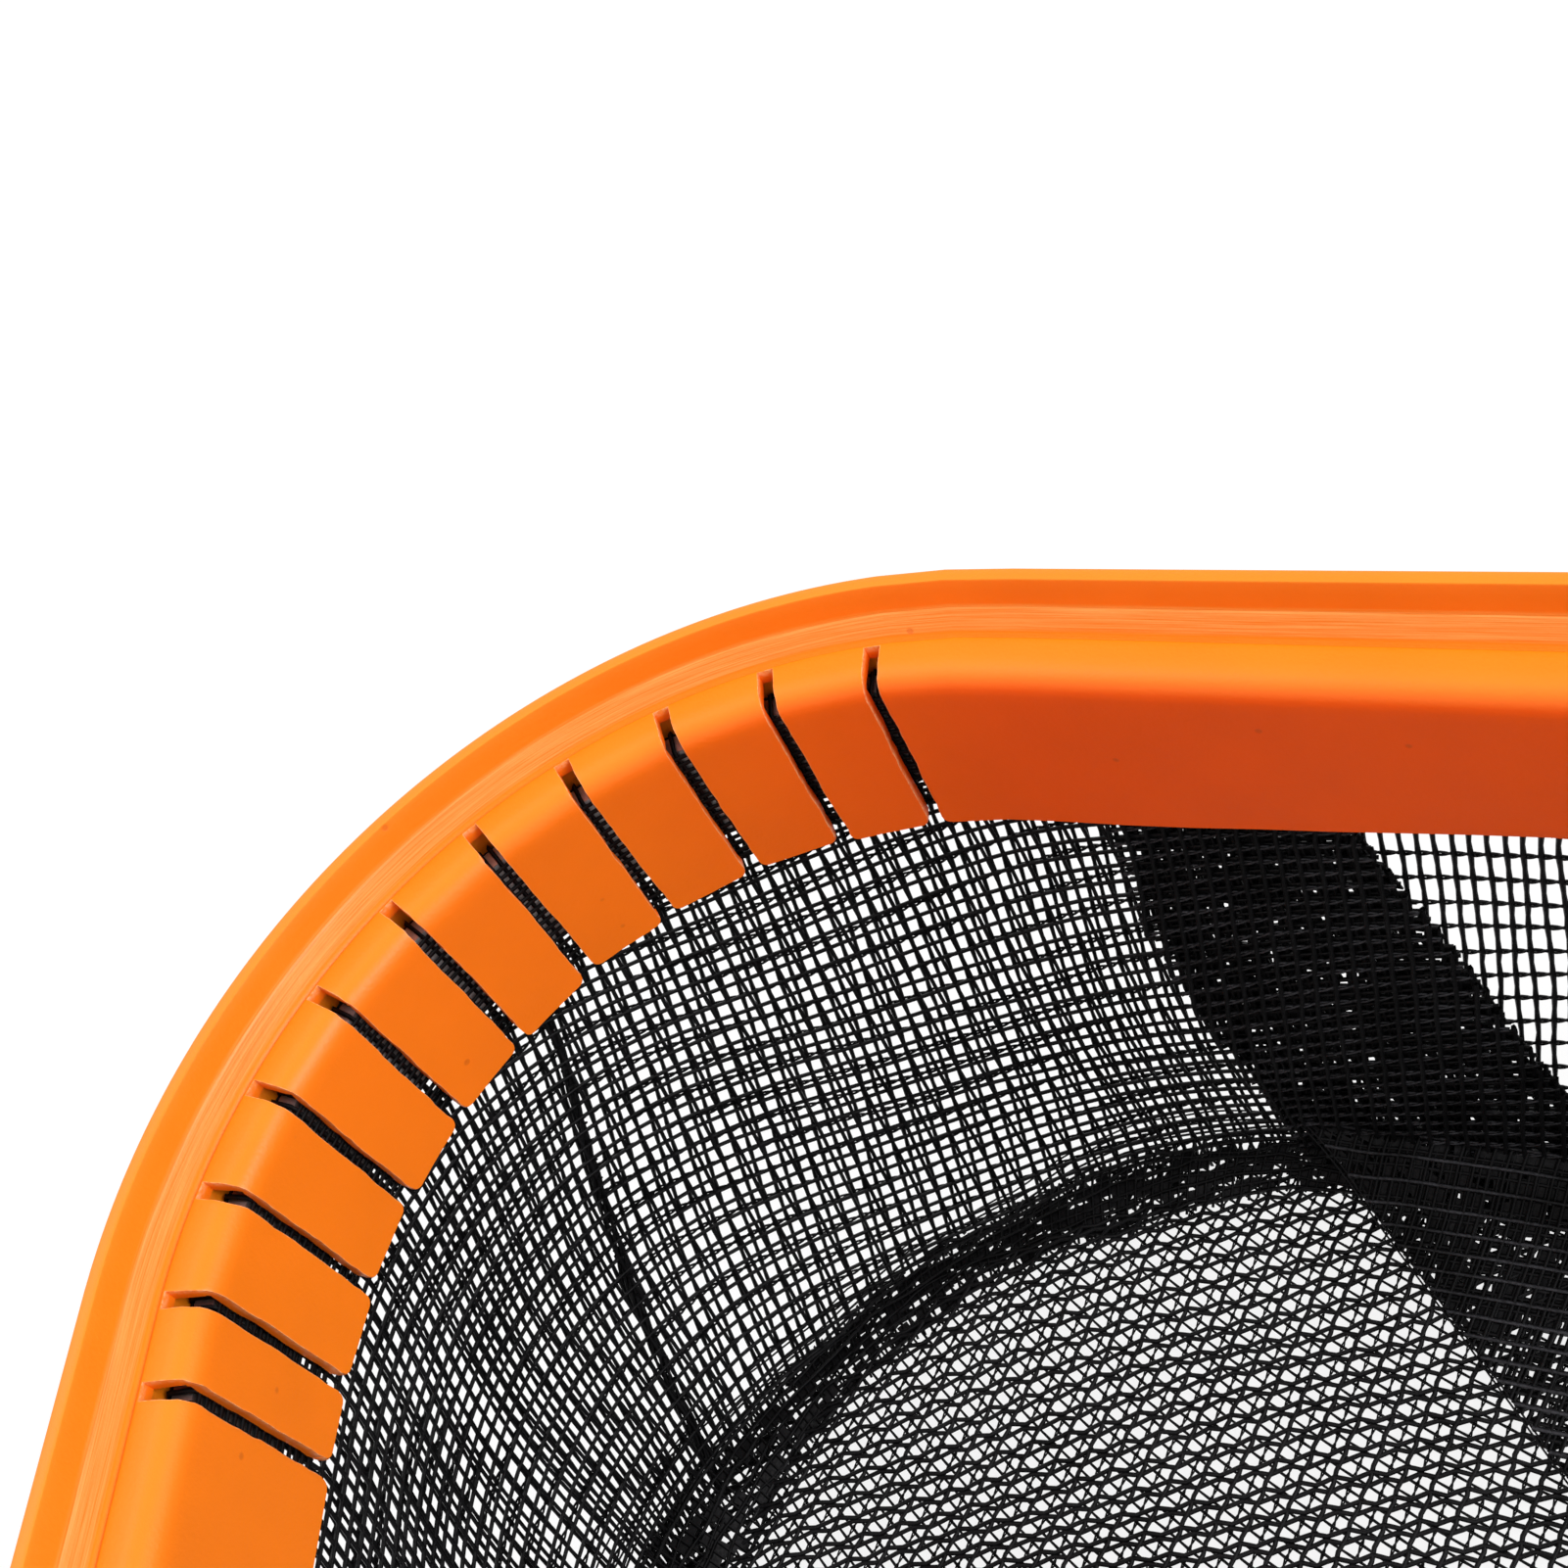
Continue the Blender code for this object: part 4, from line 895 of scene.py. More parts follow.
        inset = np.broadcast_to(chain[:, 0], station.shape).copy()
        rise = np.broadcast_to(chain[:, 1], station.shape).copy()
        corner = np.clip(self.tip_round - from_cut, 0, None)[:, None]
        lift = self.tip_round - np.sqrt(np.clip(self.tip_round ** 2 - corner ** 2, 0, None))
        wave = 0.28 * MM * noise_1d(station / (26 * MM), 77) + 0.12 * MM * noise_1d(station / (5 * MM), 78)
        starts = self.rail.starts()
        along_front = np.minimum(starts[4] - station, station - starts[3]) / MM
        tuck = np.interp(along_front, (0, 12, 42, 70), (0.0, 0.1, 1.0, 0.8))
        floor = -self.fin_length + lift + np.abs(wave) + 2.2 * MM * tuck
        rise = np.where(on_base, rise, np.maximum(rise, floor + 0.3 * MM * (fall < 0.999)))
        edge_round = np.clip(1 - from_cut / (0.2 * MM), 0, 1)[:, None] * 0.07 * MM
        is_outer = np.arange(count) < pairs
        facing_up = is_outer & (fall < 0.03)
        inset -= np.where(is_outer & ~facing_up, edge_round, 0.0)
        rise -= np.where(facing_up, edge_round, 0.0) * free

        rng = np.random.default_rng(900 + number)
        short = width < 2 * self.slit_pitch
        lean = rng.uniform(-0.3, 0.35) * MM if short else 0.0
        twist = rng.uniform(-0.22, 0.22) * MM if short else 0.0
        sag = 0.3 * MM * noise_1d(station / (48 * MM), 79) * (0.0 if short else 1.0)
        inset += fall * (lean + twist * (2 * share - 1) + sag - 0.7 * MM * tuck)

        x, y, _, _ = self.rail.place(station, inset)
        if short:
            flat = 0.85 * np.clip(reach / (4 * MM), 0, 1) * ~on_base
            x, y = (value + (value[:1] + (value[-1:] - value[:1]) * share - value) * flat
                    for value in (x, y))
        return np.stack((x, y, self.rail.level + rise), -1), from_cut, station

    def build(self) -> Piece:
        """Build the whole edge as one closed mesh with its attributes and map."""
        pairs, base = len(self.outer_chain()), len(self.base_chain())
        count = 2 * pairs + base
        chain = np.array(self.outer_chain() + self.inner_chain()[::-1] + self.base_chain())
        across = np.concatenate(([0.0], np.cumsum(np.hypot(*np.diff(chain, axis=0).T))))
        spans = self.spans()
        points, cuts, stations, faces, first = [], [], [], [], 0
        ring = np.arange(count)
        after = (ring + 1) % count
        base_edges = [(p, (p + 1) % count) for p in range(2 * pairs - 1, count)]
        previous = None
        for number, (begin, end) in enumerate(spans):
            ends = (number == 0, number == len(spans) - 1)
            found, from_cut, station = self.finger(number, begin, end, ends)
            columns = len(found)
            points.append(found.reshape(-1, 3))
            cuts.append(np.repeat(np.clip(1 - from_cut / (0.15 * MM), 0, 1), count))
            stations.append(station.ravel())
            here = first + np.arange(columns)[:, None] * count
            quads = np.stack((here[:-1] + ring, here[1:] + ring, here[1:] + after, here[:-1] + after), -1)
            faces += quads.reshape(-1, 4).tolist()
            left, right = first, first + (columns - 1) * count
            for k in range(pairs - 1):
                o0, o1, i0, i1 = k, k + 1, 2 * pairs - 1 - k, 2 * pairs - 2 - k
                faces.append([left + o0, left + o1, left + i1, left + i0])
                faces.append([right + i0, right + i1, right + o1, right + o0])
            if previous is not None:
                for p, q in base_edges:
                    faces.append([previous + p, left + p, left + q, previous + q])
                faces.append([previous, left, left + 2 * pairs - 1, previous + 2 * pairs - 1])
            previous = right
            first += columns * count
        closing = [2 * pairs - 1 + k for k in range(base + 1)] + [0]
        faces.append(closing)
        faces.append([previous + p for p in reversed(closing)])

        mesh = bpy.data.meshes.new("slit_scoop_edge")
        mesh.from_pydata(np.concatenate(points).tolist(), [], faces)
        station, cut = np.concatenate(stations), np.concatenate(cuts)
        columns = len(station) // count
        self.add_attributes(mesh, np.tile(ring, columns), np.tile(across, columns), station, cut)
        self.lay_out(mesh, station, np.tile(across / across[-1], columns))
        smooth_by_angle(mesh, 34)
        Finish.EDGE.paint(mesh)
        return link_mesh("slit_scoop_edge", mesh)

    def add_attributes(self, mesh: bpy.types.Mesh, place: Array, across: Array,
                       station: Array, cut: Array) -> None:
        """Give each point its place along and across the strip and its kind of surface, and its share of
        painted shade under depth.
        """
        pairs = len(self.outer_chain())
        rise = np.zeros(len(mesh.vertices) * 3, np.float32)
        mesh.vertices.foreach_get("co", rise)
        drop = np.clip((self.rail.level - rise[2::3]) / self.fin_length, 0, 1)
        on_fin = place < 2 * pairs
        starts = self.rail.starts()
        # Painted shade: the fin colour is shaded deepest on the front run and less round the turns to the
        # sides, from the shoulder down; the fin's hidden faces and slit ends take it in full.
        turned = np.maximum(station - starts[4], starts[3] - station) / MM
        painted_shade = np.interp(turned, (0, 20, 45, 95), (1.0, 0.8, 0.45, 0.25))
        depth = np.where(on_fin, painted_shade * np.clip(drop / 0.075, 0, 1), 0.0)
        ramp_first = 2 * pairs + len(self.base_chain()) - 12
        ramp_mask = (place >= ramp_first) & (place < ramp_first + 6)
        lip_face = (place >= ramp_first - 3) & (place < ramp_first)
        # The lip face takes half of the painted shade.
        depth = np.where(lip_face, 0.5 * painted_shade, depth)
        fin_sides = (place >= pairs) & on_fin
        values = {"along": station, "across": across, "depth": np.where(fin_sides, painted_shade, depth),
                  "ramp": ramp_mask, "cut": np.where(place < pairs, cut, 0.0)}
        for key, value in values.items():
            set_values(mesh, key, value)

    def lay_out(self, mesh: bpy.types.Mesh, station: Array, across: Array) -> None:
        """Map the strip flat, folded into a few rows."""
        loops = loop_points(mesh)
        totals = np.zeros(len(mesh.polygons), np.int32)
        mesh.polygons.foreach_get("loop_total", totals)
        owner = np.repeat(np.arange(len(totals)), totals)
        lowest = np.full(len(totals), np.inf)
        np.minimum.at(lowest, owner, station[loops])
        length = (station.max() - station.min()) / self.map_rows
        row = np.clip(np.floor((lowest - station.min()) / length), 0, self.map_rows - 1)[owner]
        u = (station[loops] - station.min() - row * length) / (length * 1.03)
        v = (row + 0.02 + 0.96 * across[loops]) / self.map_rows
        set_map(mesh, u, v)


# ---- Bag ----
@dataclass(frozen=True)
class Weave:
    """Spacing and thickness of a net's yarns."""

    post_pitch: float
    row_pitch: float
    post_girth: float
    strand_girth: float
    strand_rise: float = 0.0
    dip_share: float = 1.0
    lean_share: float = 1.0
    shift: float = 0.0


LENO = Weave(1.42 * MM, 3.6 * MM, 0.235 * MM, 0.155 * MM, 0.17 * MM)
SECOND = Weave(2.0 * MM, 1.9 * MM, 0.25 * MM, 0.25 * MM, 0.0, 0.8, 0.6, 0.4)
RIBBED = Weave(1.7 * MM, 1.95 * MM, 0.26 * MM, 0.17 * MM, 0.16 * MM)
DENSE = Weave(1.05 * MM, 1.3 * MM, 0.27 * MM, 0.24 * MM, 0.0, 0.9, 0.9, 0.1)


class Side(Enum):
    """A side of the net, by the sign of its x."""

    LEFT = -1
    RIGHT = 1


@dataclass
class NetBag:
    """The net: leno walls in panels, a second layer inside, and a knitted double floor."""

    bag: BagShape
    tree: YarnTree
    top: float
    outer: float = 0.25 * MM
    inner: float = 1.55 * MM
    dip_depth: float = 14.0 * MM
    dip_place: float = 33.0 * MM
    crease_top: float = 57.7 * MM
    crease_run: float = 0.289
    strip_width: float = 27.0 * MM
    near_reach: float = 78.0 * MM
    floor_seams: tuple = (-0.26, -0.125, 0.06, 0.26)
    floor_ends: tuple = (-0.13, 0.30)
    floor_half: float = 0.232
    knit_rib: float = 3.42 * MM
    knit_row: float = 2.75 * MM

    def from_corner(self, station: Array, side: Side) -> Array:
        """Distance past the start of a front turn, away from the front run."""
        starts = self.bag.rail.starts()
        return station - starts[4] if side is Side.LEFT else starts[3] - station

    def station_at(self, place: Array, side: Side) -> Array:
        """Station at a distance past the start of a front turn."""
        starts = self.bag.rail.starts()
        return starts[4] + place if side is Side.LEFT else starts[3] - place

    def crease(self, level: Array) -> Array:
        """Place of the corner seam, which leans towards the side as it goes down."""
        return self.crease_top + self.crease_run * (self.top - level)

    def lean(self, place: Array) -> Array:
        """Sideways slope of the posts near a front turn."""
        return np.interp(place / MM, (-138, 0, 20, 66, 86, 240), (0.0, 0.4, 0.27, 0.27, 0.07, 0.0))

    def dip(self, place: Array, on_side: bool) -> Array:
        """How far the rows hang down near a front turn."""
        if on_side:
            return -0.12 * np.clip(place - 62 * MM, 0, 38 * MM)
        width = np.where(place < self.dip_place, 42 * MM, 30 * MM)
        return self.dip_depth * np.exp(-((place - self.dip_place) / width) ** 2)

    def hang(self, rim: Array, depth: Array, weave: Weave, on_side: bool) -> tuple:
        """Where points of the cloth hang.

        Args:
            rim: Station of each post at the rim.
            depth: Distance of each row below the rim.
            weave: The weave, with how much it follows the dips and leans.
            on_side: Whether this is a side panel.

        Returns:
            Stations and levels.
        """
        station = rim + 0 * depth
        for _ in range(3):
            left, right = (self.from_corner(station, side) for side in (Side.LEFT, Side.RIGHT))
            drop = depth + weave.dip_share * (self.dip(left, on_side) + self.dip(right, on_side))
            sway = self.lean(left) - self.lean(right)
            station = rim + weave.lean_share * sway * np.clip(drop, 0, None)
        level = self.top - drop
        level = level + 0.22 * MM * noise_1d(station / (11 * MM) + depth / (1.7 * MM), 5)
        station = station + 0.2 * MM * noise_1d(level / (14 * MM) + rim / (3.1 * MM), 6)
        return station, level

    def wall_rows(self, weave: Weave, limits: tuple, layer: float, on_side: bool,
                  keep: Callable, near: tuple, fine: YarnSet, posts: YarnSet) -> None:
        """Lay the posts and rows of a wall panel.

        Args:
            weave: The weave.
            limits: First and last station at the rim.
            layer: Distance inside the outer face.
            on_side: Whether this is a side panel.
            keep: Function of stations and levels, positive inside the panel.
            near: Stations between which each yarn is drawn in full.
            fine: Set that takes the rows and the far posts.
            posts: Set that takes the near posts.
        """
        rims = np.arange(limits[0], limits[1], weave.post_pitch)
        rims = rims + 0.13 * MM * noise_1d(rims / (2.6 * MM), 7)
        first = int(-20 * MM / weave.row_pitch)
        last = int(self.top / weave.row_pitch) + 3
        shift = weave.shift * weave.row_pitch
        is_near = (rims > near[0]) & (rims < near[1])

        def lay(target: YarnSet, rim: Array, depth: Array, girth: Array,
                lift: Array = 0.0, push: Array = 0.0) -> None:
            station, level = self.hang(rim, depth, weave, on_side)
            points = self.bag.wall(station, level + lift, layer + push)
            target.add(points, girth, keep(station, level))

        steps = np.arange(2 * first, 2 * last)
        depth = steps * weave.row_pitch / 2 + shift
        swell = np.where(steps % 2 == 0, 1.22, 0.93)
        if is_near.any():
            lay(posts, rims[is_near][:, None], depth[None, :], weave.post_girth * swell[None, :])
        depth = np.arange(first, last) * weave.row_pitch + shift
        blocks = [(block, near[0] < block[0] < near[1])
                  for block in np.split(rims, np.flatnonzero(np.diff(is_near)) + 1)]
        for block, close in blocks:
            if not close:
                lay(fine, block[:, None], depth[None, :], weave.post_girth)
        for block, close in blocks:
            full = close and weave.strand_rise > 0
            block = np.append(block, block[-1] + weave.post_pitch)
            if not full:
                girth = weave.strand_girth * (1.5 if weave.strand_rise else 1.0)
                lay(fine, block[None, :], depth[:, None], girth)
                continue
            turns = np.arange(4 * (len(block) - 1) + 1) / 4
            rim = np.interp(turns, np.arange(len(block)), block)
            for strand in (1, -1):
                lift = strand * weave.strand_rise * np.cos(math.pi * turns)
                push = strand * 0.1 * MM * np.sin(math.pi * turns)
                lay(fine, rim[None, :], depth[:, None], weave.strand_girth, lift[None, :],
                    push[None, :])

    def cloth_piece(self, name: str, fine: YarnSet, posts: YarnSet, node: str) -> Piece:
        """Turn yarns into one dressed piece of cloth in place of a node."""
        pieces = [yarns.piece(f"{name}_{sides}", self.tree, Finish.NET, sides)
                  for yarns, sides in ((fine, 3), (posts, 4)) if yarns.count]
        return dress(joined(name, pieces), "net", node)

    def build_walls(self) -> None:
        """Build the front panel, the two side panels and the second layer inside them."""
        starts = self.bag.rail.starts()
        rear = (starts[8] - starts[7]) / 2
        foot = 0.3 * MM
        middle = {Side.LEFT: starts[7] + rear, Side.RIGHT: -rear}
        near_left = (starts[4] - self.near_reach, starts[4] + 135 * MM)

        def between(station: Array, level: Array, *others: Array) -> Array:
            return np.minimum.reduce([self.top - level, level - foot, *others])

        def in_front(station: Array, level: Array) -> Array:
            limit = self.crease(level)
            return between(station, level, limit - self.from_corner(station, Side.LEFT),
                           limit - self.from_corner(station, Side.RIGHT))

        reach = self.crease_top + 20 * MM
        fine, posts = YarnSet(), YarnSet()
        self.wall_rows(LENO, (starts[3] - reach, starts[4] + reach), self.outer, False, in_front,
                       near_left, fine, posts)
        panel = self.cloth_piece("front_wall_net", fine, posts, "net_outer_layer")

        for side in Side:
            word = side.name.lower()

            def behind(first: Callable, side: Side = side) -> Callable:
                return lambda station, level: between(
                    station, level, self.from_corner(station, side) - first(level),
                    (station - middle[side]) * side.value)

            for name, weave, layer, test, first, node, in_rows in (
                    (f"{word}_wall_net", LENO, self.outer, behind(self.crease), self.crease_top - 12 * MM,
                     "net_outer_layer", True),
                    (f"{word}_second_net", SECOND, self.inner,
                     behind(lambda level: -self.strip_width), -self.strip_width - 12 * MM,
                     "net_inner_layer", False)):
                ends = sorted((self.station_at(first, side), middle[side]))
                fine, posts = YarnSet(), YarnSet()
                self.wall_rows(weave, ends, layer, in_rows, test,
                               near_left if in_rows else (0.0, 0.0), fine, posts)
                panel = self.cloth_piece(name, fine, posts, node)

    # -- Doubled cloth: overlap strips, corner seams, foot band and hem --
    def punched_sheet(self, name: str, place: Callable, cells: tuple, share: float, seed: int,
                      thickness: float) -> Piece:
        """A thin dense sheet with scattered pin holes, as many layers of net look.

        Args:
            name: The piece's name.
            place: Function of two grid shares that gives points.
            cells: Number of cells along and across.
            share: Share of cells left open.
            seed: Seed of the scatter.
            thickness: Thickness of the sheet.

        Returns:
            The sheet as a plain mesh object.
        """
        along, across = np.meshgrid(np.linspace(0, 1, cells[0] + 1), np.linspace(0, 1, cells[1] + 1),
                                    indexing="ij")
        points = place(along, across)
        index = np.arange(along.size).reshape(along.shape)
        quads = np.stack((index[:-1, :-1], index[1:, :-1], index[1:, 1:], index[:-1, 1:]), -1)
        closed = np.random.default_rng(seed).uniform(size=quads.shape[:2]) > share
        mesh = bpy.data.meshes.new(name)
        mesh.from_pydata(points.reshape(-1, 3).tolist(), [], quads[closed].tolist())
        loops = loop_points(mesh)
        set_map(mesh, along.ravel()[loops], across.ravel()[loops])
        Finish.SEAM.paint(mesh)
        sheet = link_mesh(f"{name}_source", mesh)
        add_modifier(sheet, "SOLIDIFY", thickness=thickness, offset=0)
        return realised(name, sheet)

    def build_overlaps(self) -> None:
        """Build the upright overlaps of the front wall, each dense and nearly closed."""
        foot = 0.4 * MM
        for side in Side:
            word = side.name.lower()

            def edge(level: Array) -> Array:
                return np.interp(level / MM, (0, 20, 45, 62), (5.0, 2.0, 0.0, -5.0)) * MM

            def far(level: Array) -> Array:
                more = np.interp(level / MM, (0, 24, 62), (6.0, 3.5, 0.0)) * MM
                return -self.strip_width - more + 1.0 * MM * noise_1d(level / (23 * MM), 42)

            def inside(station: Array, level: Array, side: Side = side) -> Array:
                place = self.from_corner(station, side)
                return np.minimum.reduce([self.top - level, level - foot, edge(level) - place,
                                          place - far(level)])

            def sheet_point(along: Array, across: Array, side: Side = side) -> Array:
                level = foot + (self.top - foot) * along
                first, last = far(level) + 0.5 * MM, edge(level) - 0.8 * MM
                place = first + (last - first) * across
                ripple = 0.25 * MM * noise_1d(across * 9 + along * 3, 43)
                return self.bag.wall(self.station_at(place, side), level, 0.85 * MM + ripple)

            ends = sorted((self.station_at(-self.strip_width - 29 * MM, side),
                           self.station_at(9 * MM, side)))
            fine, posts, ribbons = YarnSet(), YarnSet(), YarnSet()
            self.wall_rows(DENSE, ends, 1.25 * MM, False, inside, ends, fine, posts)
            self.wall_rows(RIBBED, ends, 2.0 * MM, False, inside, ends, ribbons, posts)
            pieces = [fine.piece(f"{word}_rows", self.tree, Finish.SEAM, 3),
                      posts.piece(f"{word}_posts", self.tree, Finish.SEAM, 4),
                      ribbons.piece(f"{word}_ribbons", self.tree, Finish.RIBBON, 3),
                      self.punched_sheet(f"{word}_core", sheet_point, (72, 32), 0.2,
                                         51 + side.value, 0.2 * MM),
                      *self.build_flap(word, side)]
            piece = joined(f"{word}_overlap_strip", pieces)
            dress(piece, "seam", "net_outer_layer")

    def build_flap(self, word: str, side: Side) -> list:
        """Lay the foot of an overlap over the floor, as a dense three-cornered flap."""
        corners = np.array([(-66, 0), (-58, 14), (-46, 26), (-38, 31), (-28, 30.5), (-15, 18.3),
                            (5.5, 0)]) * MM
        closed = np.array([(-66, 0), (-50, 9), (-36, 14.5), (-22, 16.7), (-15, 18), (5.5, 0)]) * MM
        start = self.station_at(0.0, side)
        hand = 1 if side is Side.LEFT else -1

        def floor_point(place: Array, depth: Array, lift: float) -> Array:
            x, y, _, _ = self.bag.foot(start + hand * place, depth + 0.5 * MM)
            climb = 7.4 * MM * np.exp(-(depth / (6 * MM)) ** 2)
            ripple = 0.2 * MM * noise_1d(place / (5 * MM) + depth / (8 * MM), 44)
            level = 2.2 * MM + 0.6 * self.puff(x, y) + climb + ripple + lift
            return np.stack((x, y, level), -1)

        def reach(place: Array, shape: Array = corners) -> Array:
            return np.interp(place, shape[:, 0], shape[:, 1])

        def sheet_point(along: Array, across: Array) -> Array:
            place = corners[0, 0] + (corners[-1, 0] - corners[0, 0]) * along
            depth = across * np.clip(reach(place, closed) - 0.4 * MM, 0.05 * MM, None)
            return floor_point(place, depth, 0.0)

        cloth, ribbons = YarnSet(), YarnSet()
        for weave, lift, girth, target in ((RIBBED, 0.55 * MM, 0.24 * MM, ribbons),
                                           (DENSE, 0.2 * MM, 0.22 * MM, cloth)):
            posts = np.arange(-74 * MM, 6 * MM, weave.post_pitch)[:, None]
            depth = np.linspace(0, 32 * MM, 15)[None, :]
            place = posts + 0.25 * depth
            cloth.add(floor_point(place, depth + 0 * posts, lift), girth, reach(place) - depth)
            rows = np.arange(0.6 * MM, 32 * MM, weave.row_pitch)[:, None]
            place = np.linspace(-67 * MM, 6 * MM, 54)[None, :]
            depth = rows + 0.4 * MM * noise_1d(place / (9 * MM) + rows, 45)
            target.add(floor_point(place + 0 * rows, depth, lift), 1.3 * girth, reach(place) - depth)
        line = np.linspace(-28 * MM, 5.5 * MM, 40)[None, :]
        for shift in (0.0, 0.5 * MM):
            cloth.add(floor_point(line, reach(line) + shift, 0.5 * MM), 0.13 * MM)
        return [cloth.piece(f"{word}_flap", self.tree, Finish.SEAM, 3),
                ribbons.piece(f"{word}_flap_ribbons", self.tree, Finish.RIBBON, 3),
                self.punched_sheet(f"{word}_flap_core", sheet_point, (80, 18), 0.24,
                                   55 + side.value, 0.2 * MM)]

    def build_corner_seams(self, stitches: ScatterTree, stitch: Piece) -> None:
        """Build the leaning seams where the front panel meets the side panels."""
        for side in Side:
            level = np.linspace(self.top, 0.8 * MM, 70)
            place = self.crease(level) + 0.35 * MM * noise_1d(level / (9 * MM), 61)
            station = self.station_at(place, side)
            bundle = YarnSet()
            for strand in range(6):
                turn = 2 * math.pi * (strand / 6 + level / (17 * MM))
                radius = 0.42 * MM + 0.22 * MM * noise_1d(level / (5 * MM), 62 + strand)
                points = self.bag.wall(station + radius * np.cos(turn), level,
                                       1.1 * MM + radius * np.sin(turn))
                bundle.add(points[None], 0.17 * MM)
            name = f"{side.name.lower()}_corner_seam"
            made = bundle.piece(name, self.tree, Finish.SEAM, 5)
            every = np.arange(self.top - 2 * MM, 3 * MM, -2.4 * MM)
            spots = self.bag.wall(self.station_at(self.crease(every), side), every, 1.75 * MM)
            heading = np.arctan2(spots[:, 1] - self.bag.rail.front_y, spots[:, 0])
            turn = np.stack((0 * every, np.full_like(every, 0.5), heading), 1)
            sewn = self.sew(f"{name}_stitches", spots, turn, stitches, stitch)
            dress(joined(name, [made, sewn]), "seam")

    @staticmethod
    def sew(name: str, spots: Array, turn: Array, stitches: ScatterTree,
            stitch: Piece) -> Piece:
        """Copy the stitch onto spots with their turns."""
        mesh = bpy.data.meshes.new(name)
        mesh.from_pydata(spots.tolist(), [], [])
        set_values(mesh, "turn", turn)
        return stitches.run(name, link_mesh(f"{name}_spots", mesh), {
            "Shape": stitch, "Size": 1.0, "Finish": Finish.SEAM.material()})

    def band_section(self, station: Array, across: Array, lift: float) -> Array:
        """Points of the foot band, from its upper edge on the wall to its lower on the floor."""
        left, right = (self.from_corner(station, side) for side in (Side.LEFT, Side.RIGHT))
        place = np.where(np.abs(left) < np.abs(right), left, right) / MM
        high = np.interp(place, (-30, 0, 22, 35, 58, 76, 95), (5.0, 4.4, 3.0, 1.6, 1.6, 5.5, 8.0))
        inset = np.interp(place, (0, 22, 35, 58, 76), (1.0, 1.2, 2.5, 1.5, 0.9))
        wander = noise_1d(station / (9 * MM), 71)
        high = (high + 0.5 * wander) * MM
        inset = inset * MM
        reach = np.interp(place, (-30, 0, 10, 24), (4.5, 5.0, 5.8, 8.2)) * MM
        low, reach = 2.0 * MM, reach + 0.7 * MM * noise_1d(station / (7 * MM), 72)
        inward = inset + (reach - inset) * across
        level = high + (low - high) * across + 0.7 * MM * np.sin(math.pi * across) + lift
        share = np.clip(level / self.top, 0, 1)
        base = 3.9 * MM * (1 - (1 - share) ** 1.6) * (across < 0.5)
        x, y, _, _ = self.bag.foot(station, inward - base * (1 - 2 * np.clip(across, 0, 0.5)))
        return np.stack((x, y, level), -1)

    def build_foot_band(self, stitches: ScatterTree, stitch: Piece) -> None:
        """Build the turned and sewn band where the walls meet the floor."""
        total = self.bag.rail.starts()[-1]

        def core(along: Array, across: Array) -> Array:
            return self.band_section(along * total, 0.06 + 0.88 * across, 0.0)

        station = np.append(np.arange(0, total, 1.7 * MM), total)
        fine = YarnSet()
        for lift, count in ((0.3 * MM, 7), (0.5 * MM, 4)):
            rows = np.linspace(0.0, 1.0, count)[:, None]
            sway = 0.12 * noise_1d(station[None, :] / (4 * MM) + 9 * rows, 73)
            points = self.band_section(np.broadcast_to(station, (count, len(station))),
                                       np.clip(rows + sway, 0, 1), lift)
            girth = 0.2 * MM + 0.05 * MM * noise_1d(station[None, :] / (1.9 * MM) + 5 * rows, 74)
            fine.add(points, girth)
        for number, girth in enumerate((0.2, 0.16, 0.14, 0.13)):
            above = -0.16 * (number + 1) + 0.06 * noise_1d(station / (6 * MM), 76 + number)
            fine.add(self.band_section(station, above, 0.2 * MM)[None], girth * MM)
        across = np.linspace(0, 1, 4)[None, :]
        posts = np.arange(0, total, 0.95 * MM)[:, None]
        across = across * 1.2 - 0.15 - 0.1 * noise_1d(posts / (2 * MM), 79)
        points = self.band_section(posts + 1.4 * MM * across, across + 0 * posts, 0.35 * MM)
        fine.add(points, 0.19 * MM)
        pieces = [self.punched_sheet("band_core", core, (1100, 8), 0.42, 75, 0.3 * MM),
                  fine.piece("band_yarns", self.tree, Finish.SEAM, 3)]
        spots_at = np.arange(0, total, 3.2 * MM)
        spots = self.band_section(spots_at, np.full_like(spots_at, 0.55), 0.6 * MM)
        ahead = self.band_section(spots_at + MM, np.full_like(spots_at, 0.55), 0.6 * MM)
        heading = np.arctan2(*(ahead - spots)[:, 1::-1].T)
        turn = np.stack((0 * heading, 0 * heading, heading), 1)
        pieces.append(self.sew("band_stitches", spots, turn, stitches, stitch))
        dress(joined("foot_band", pieces), "seam", "bottom_seam")

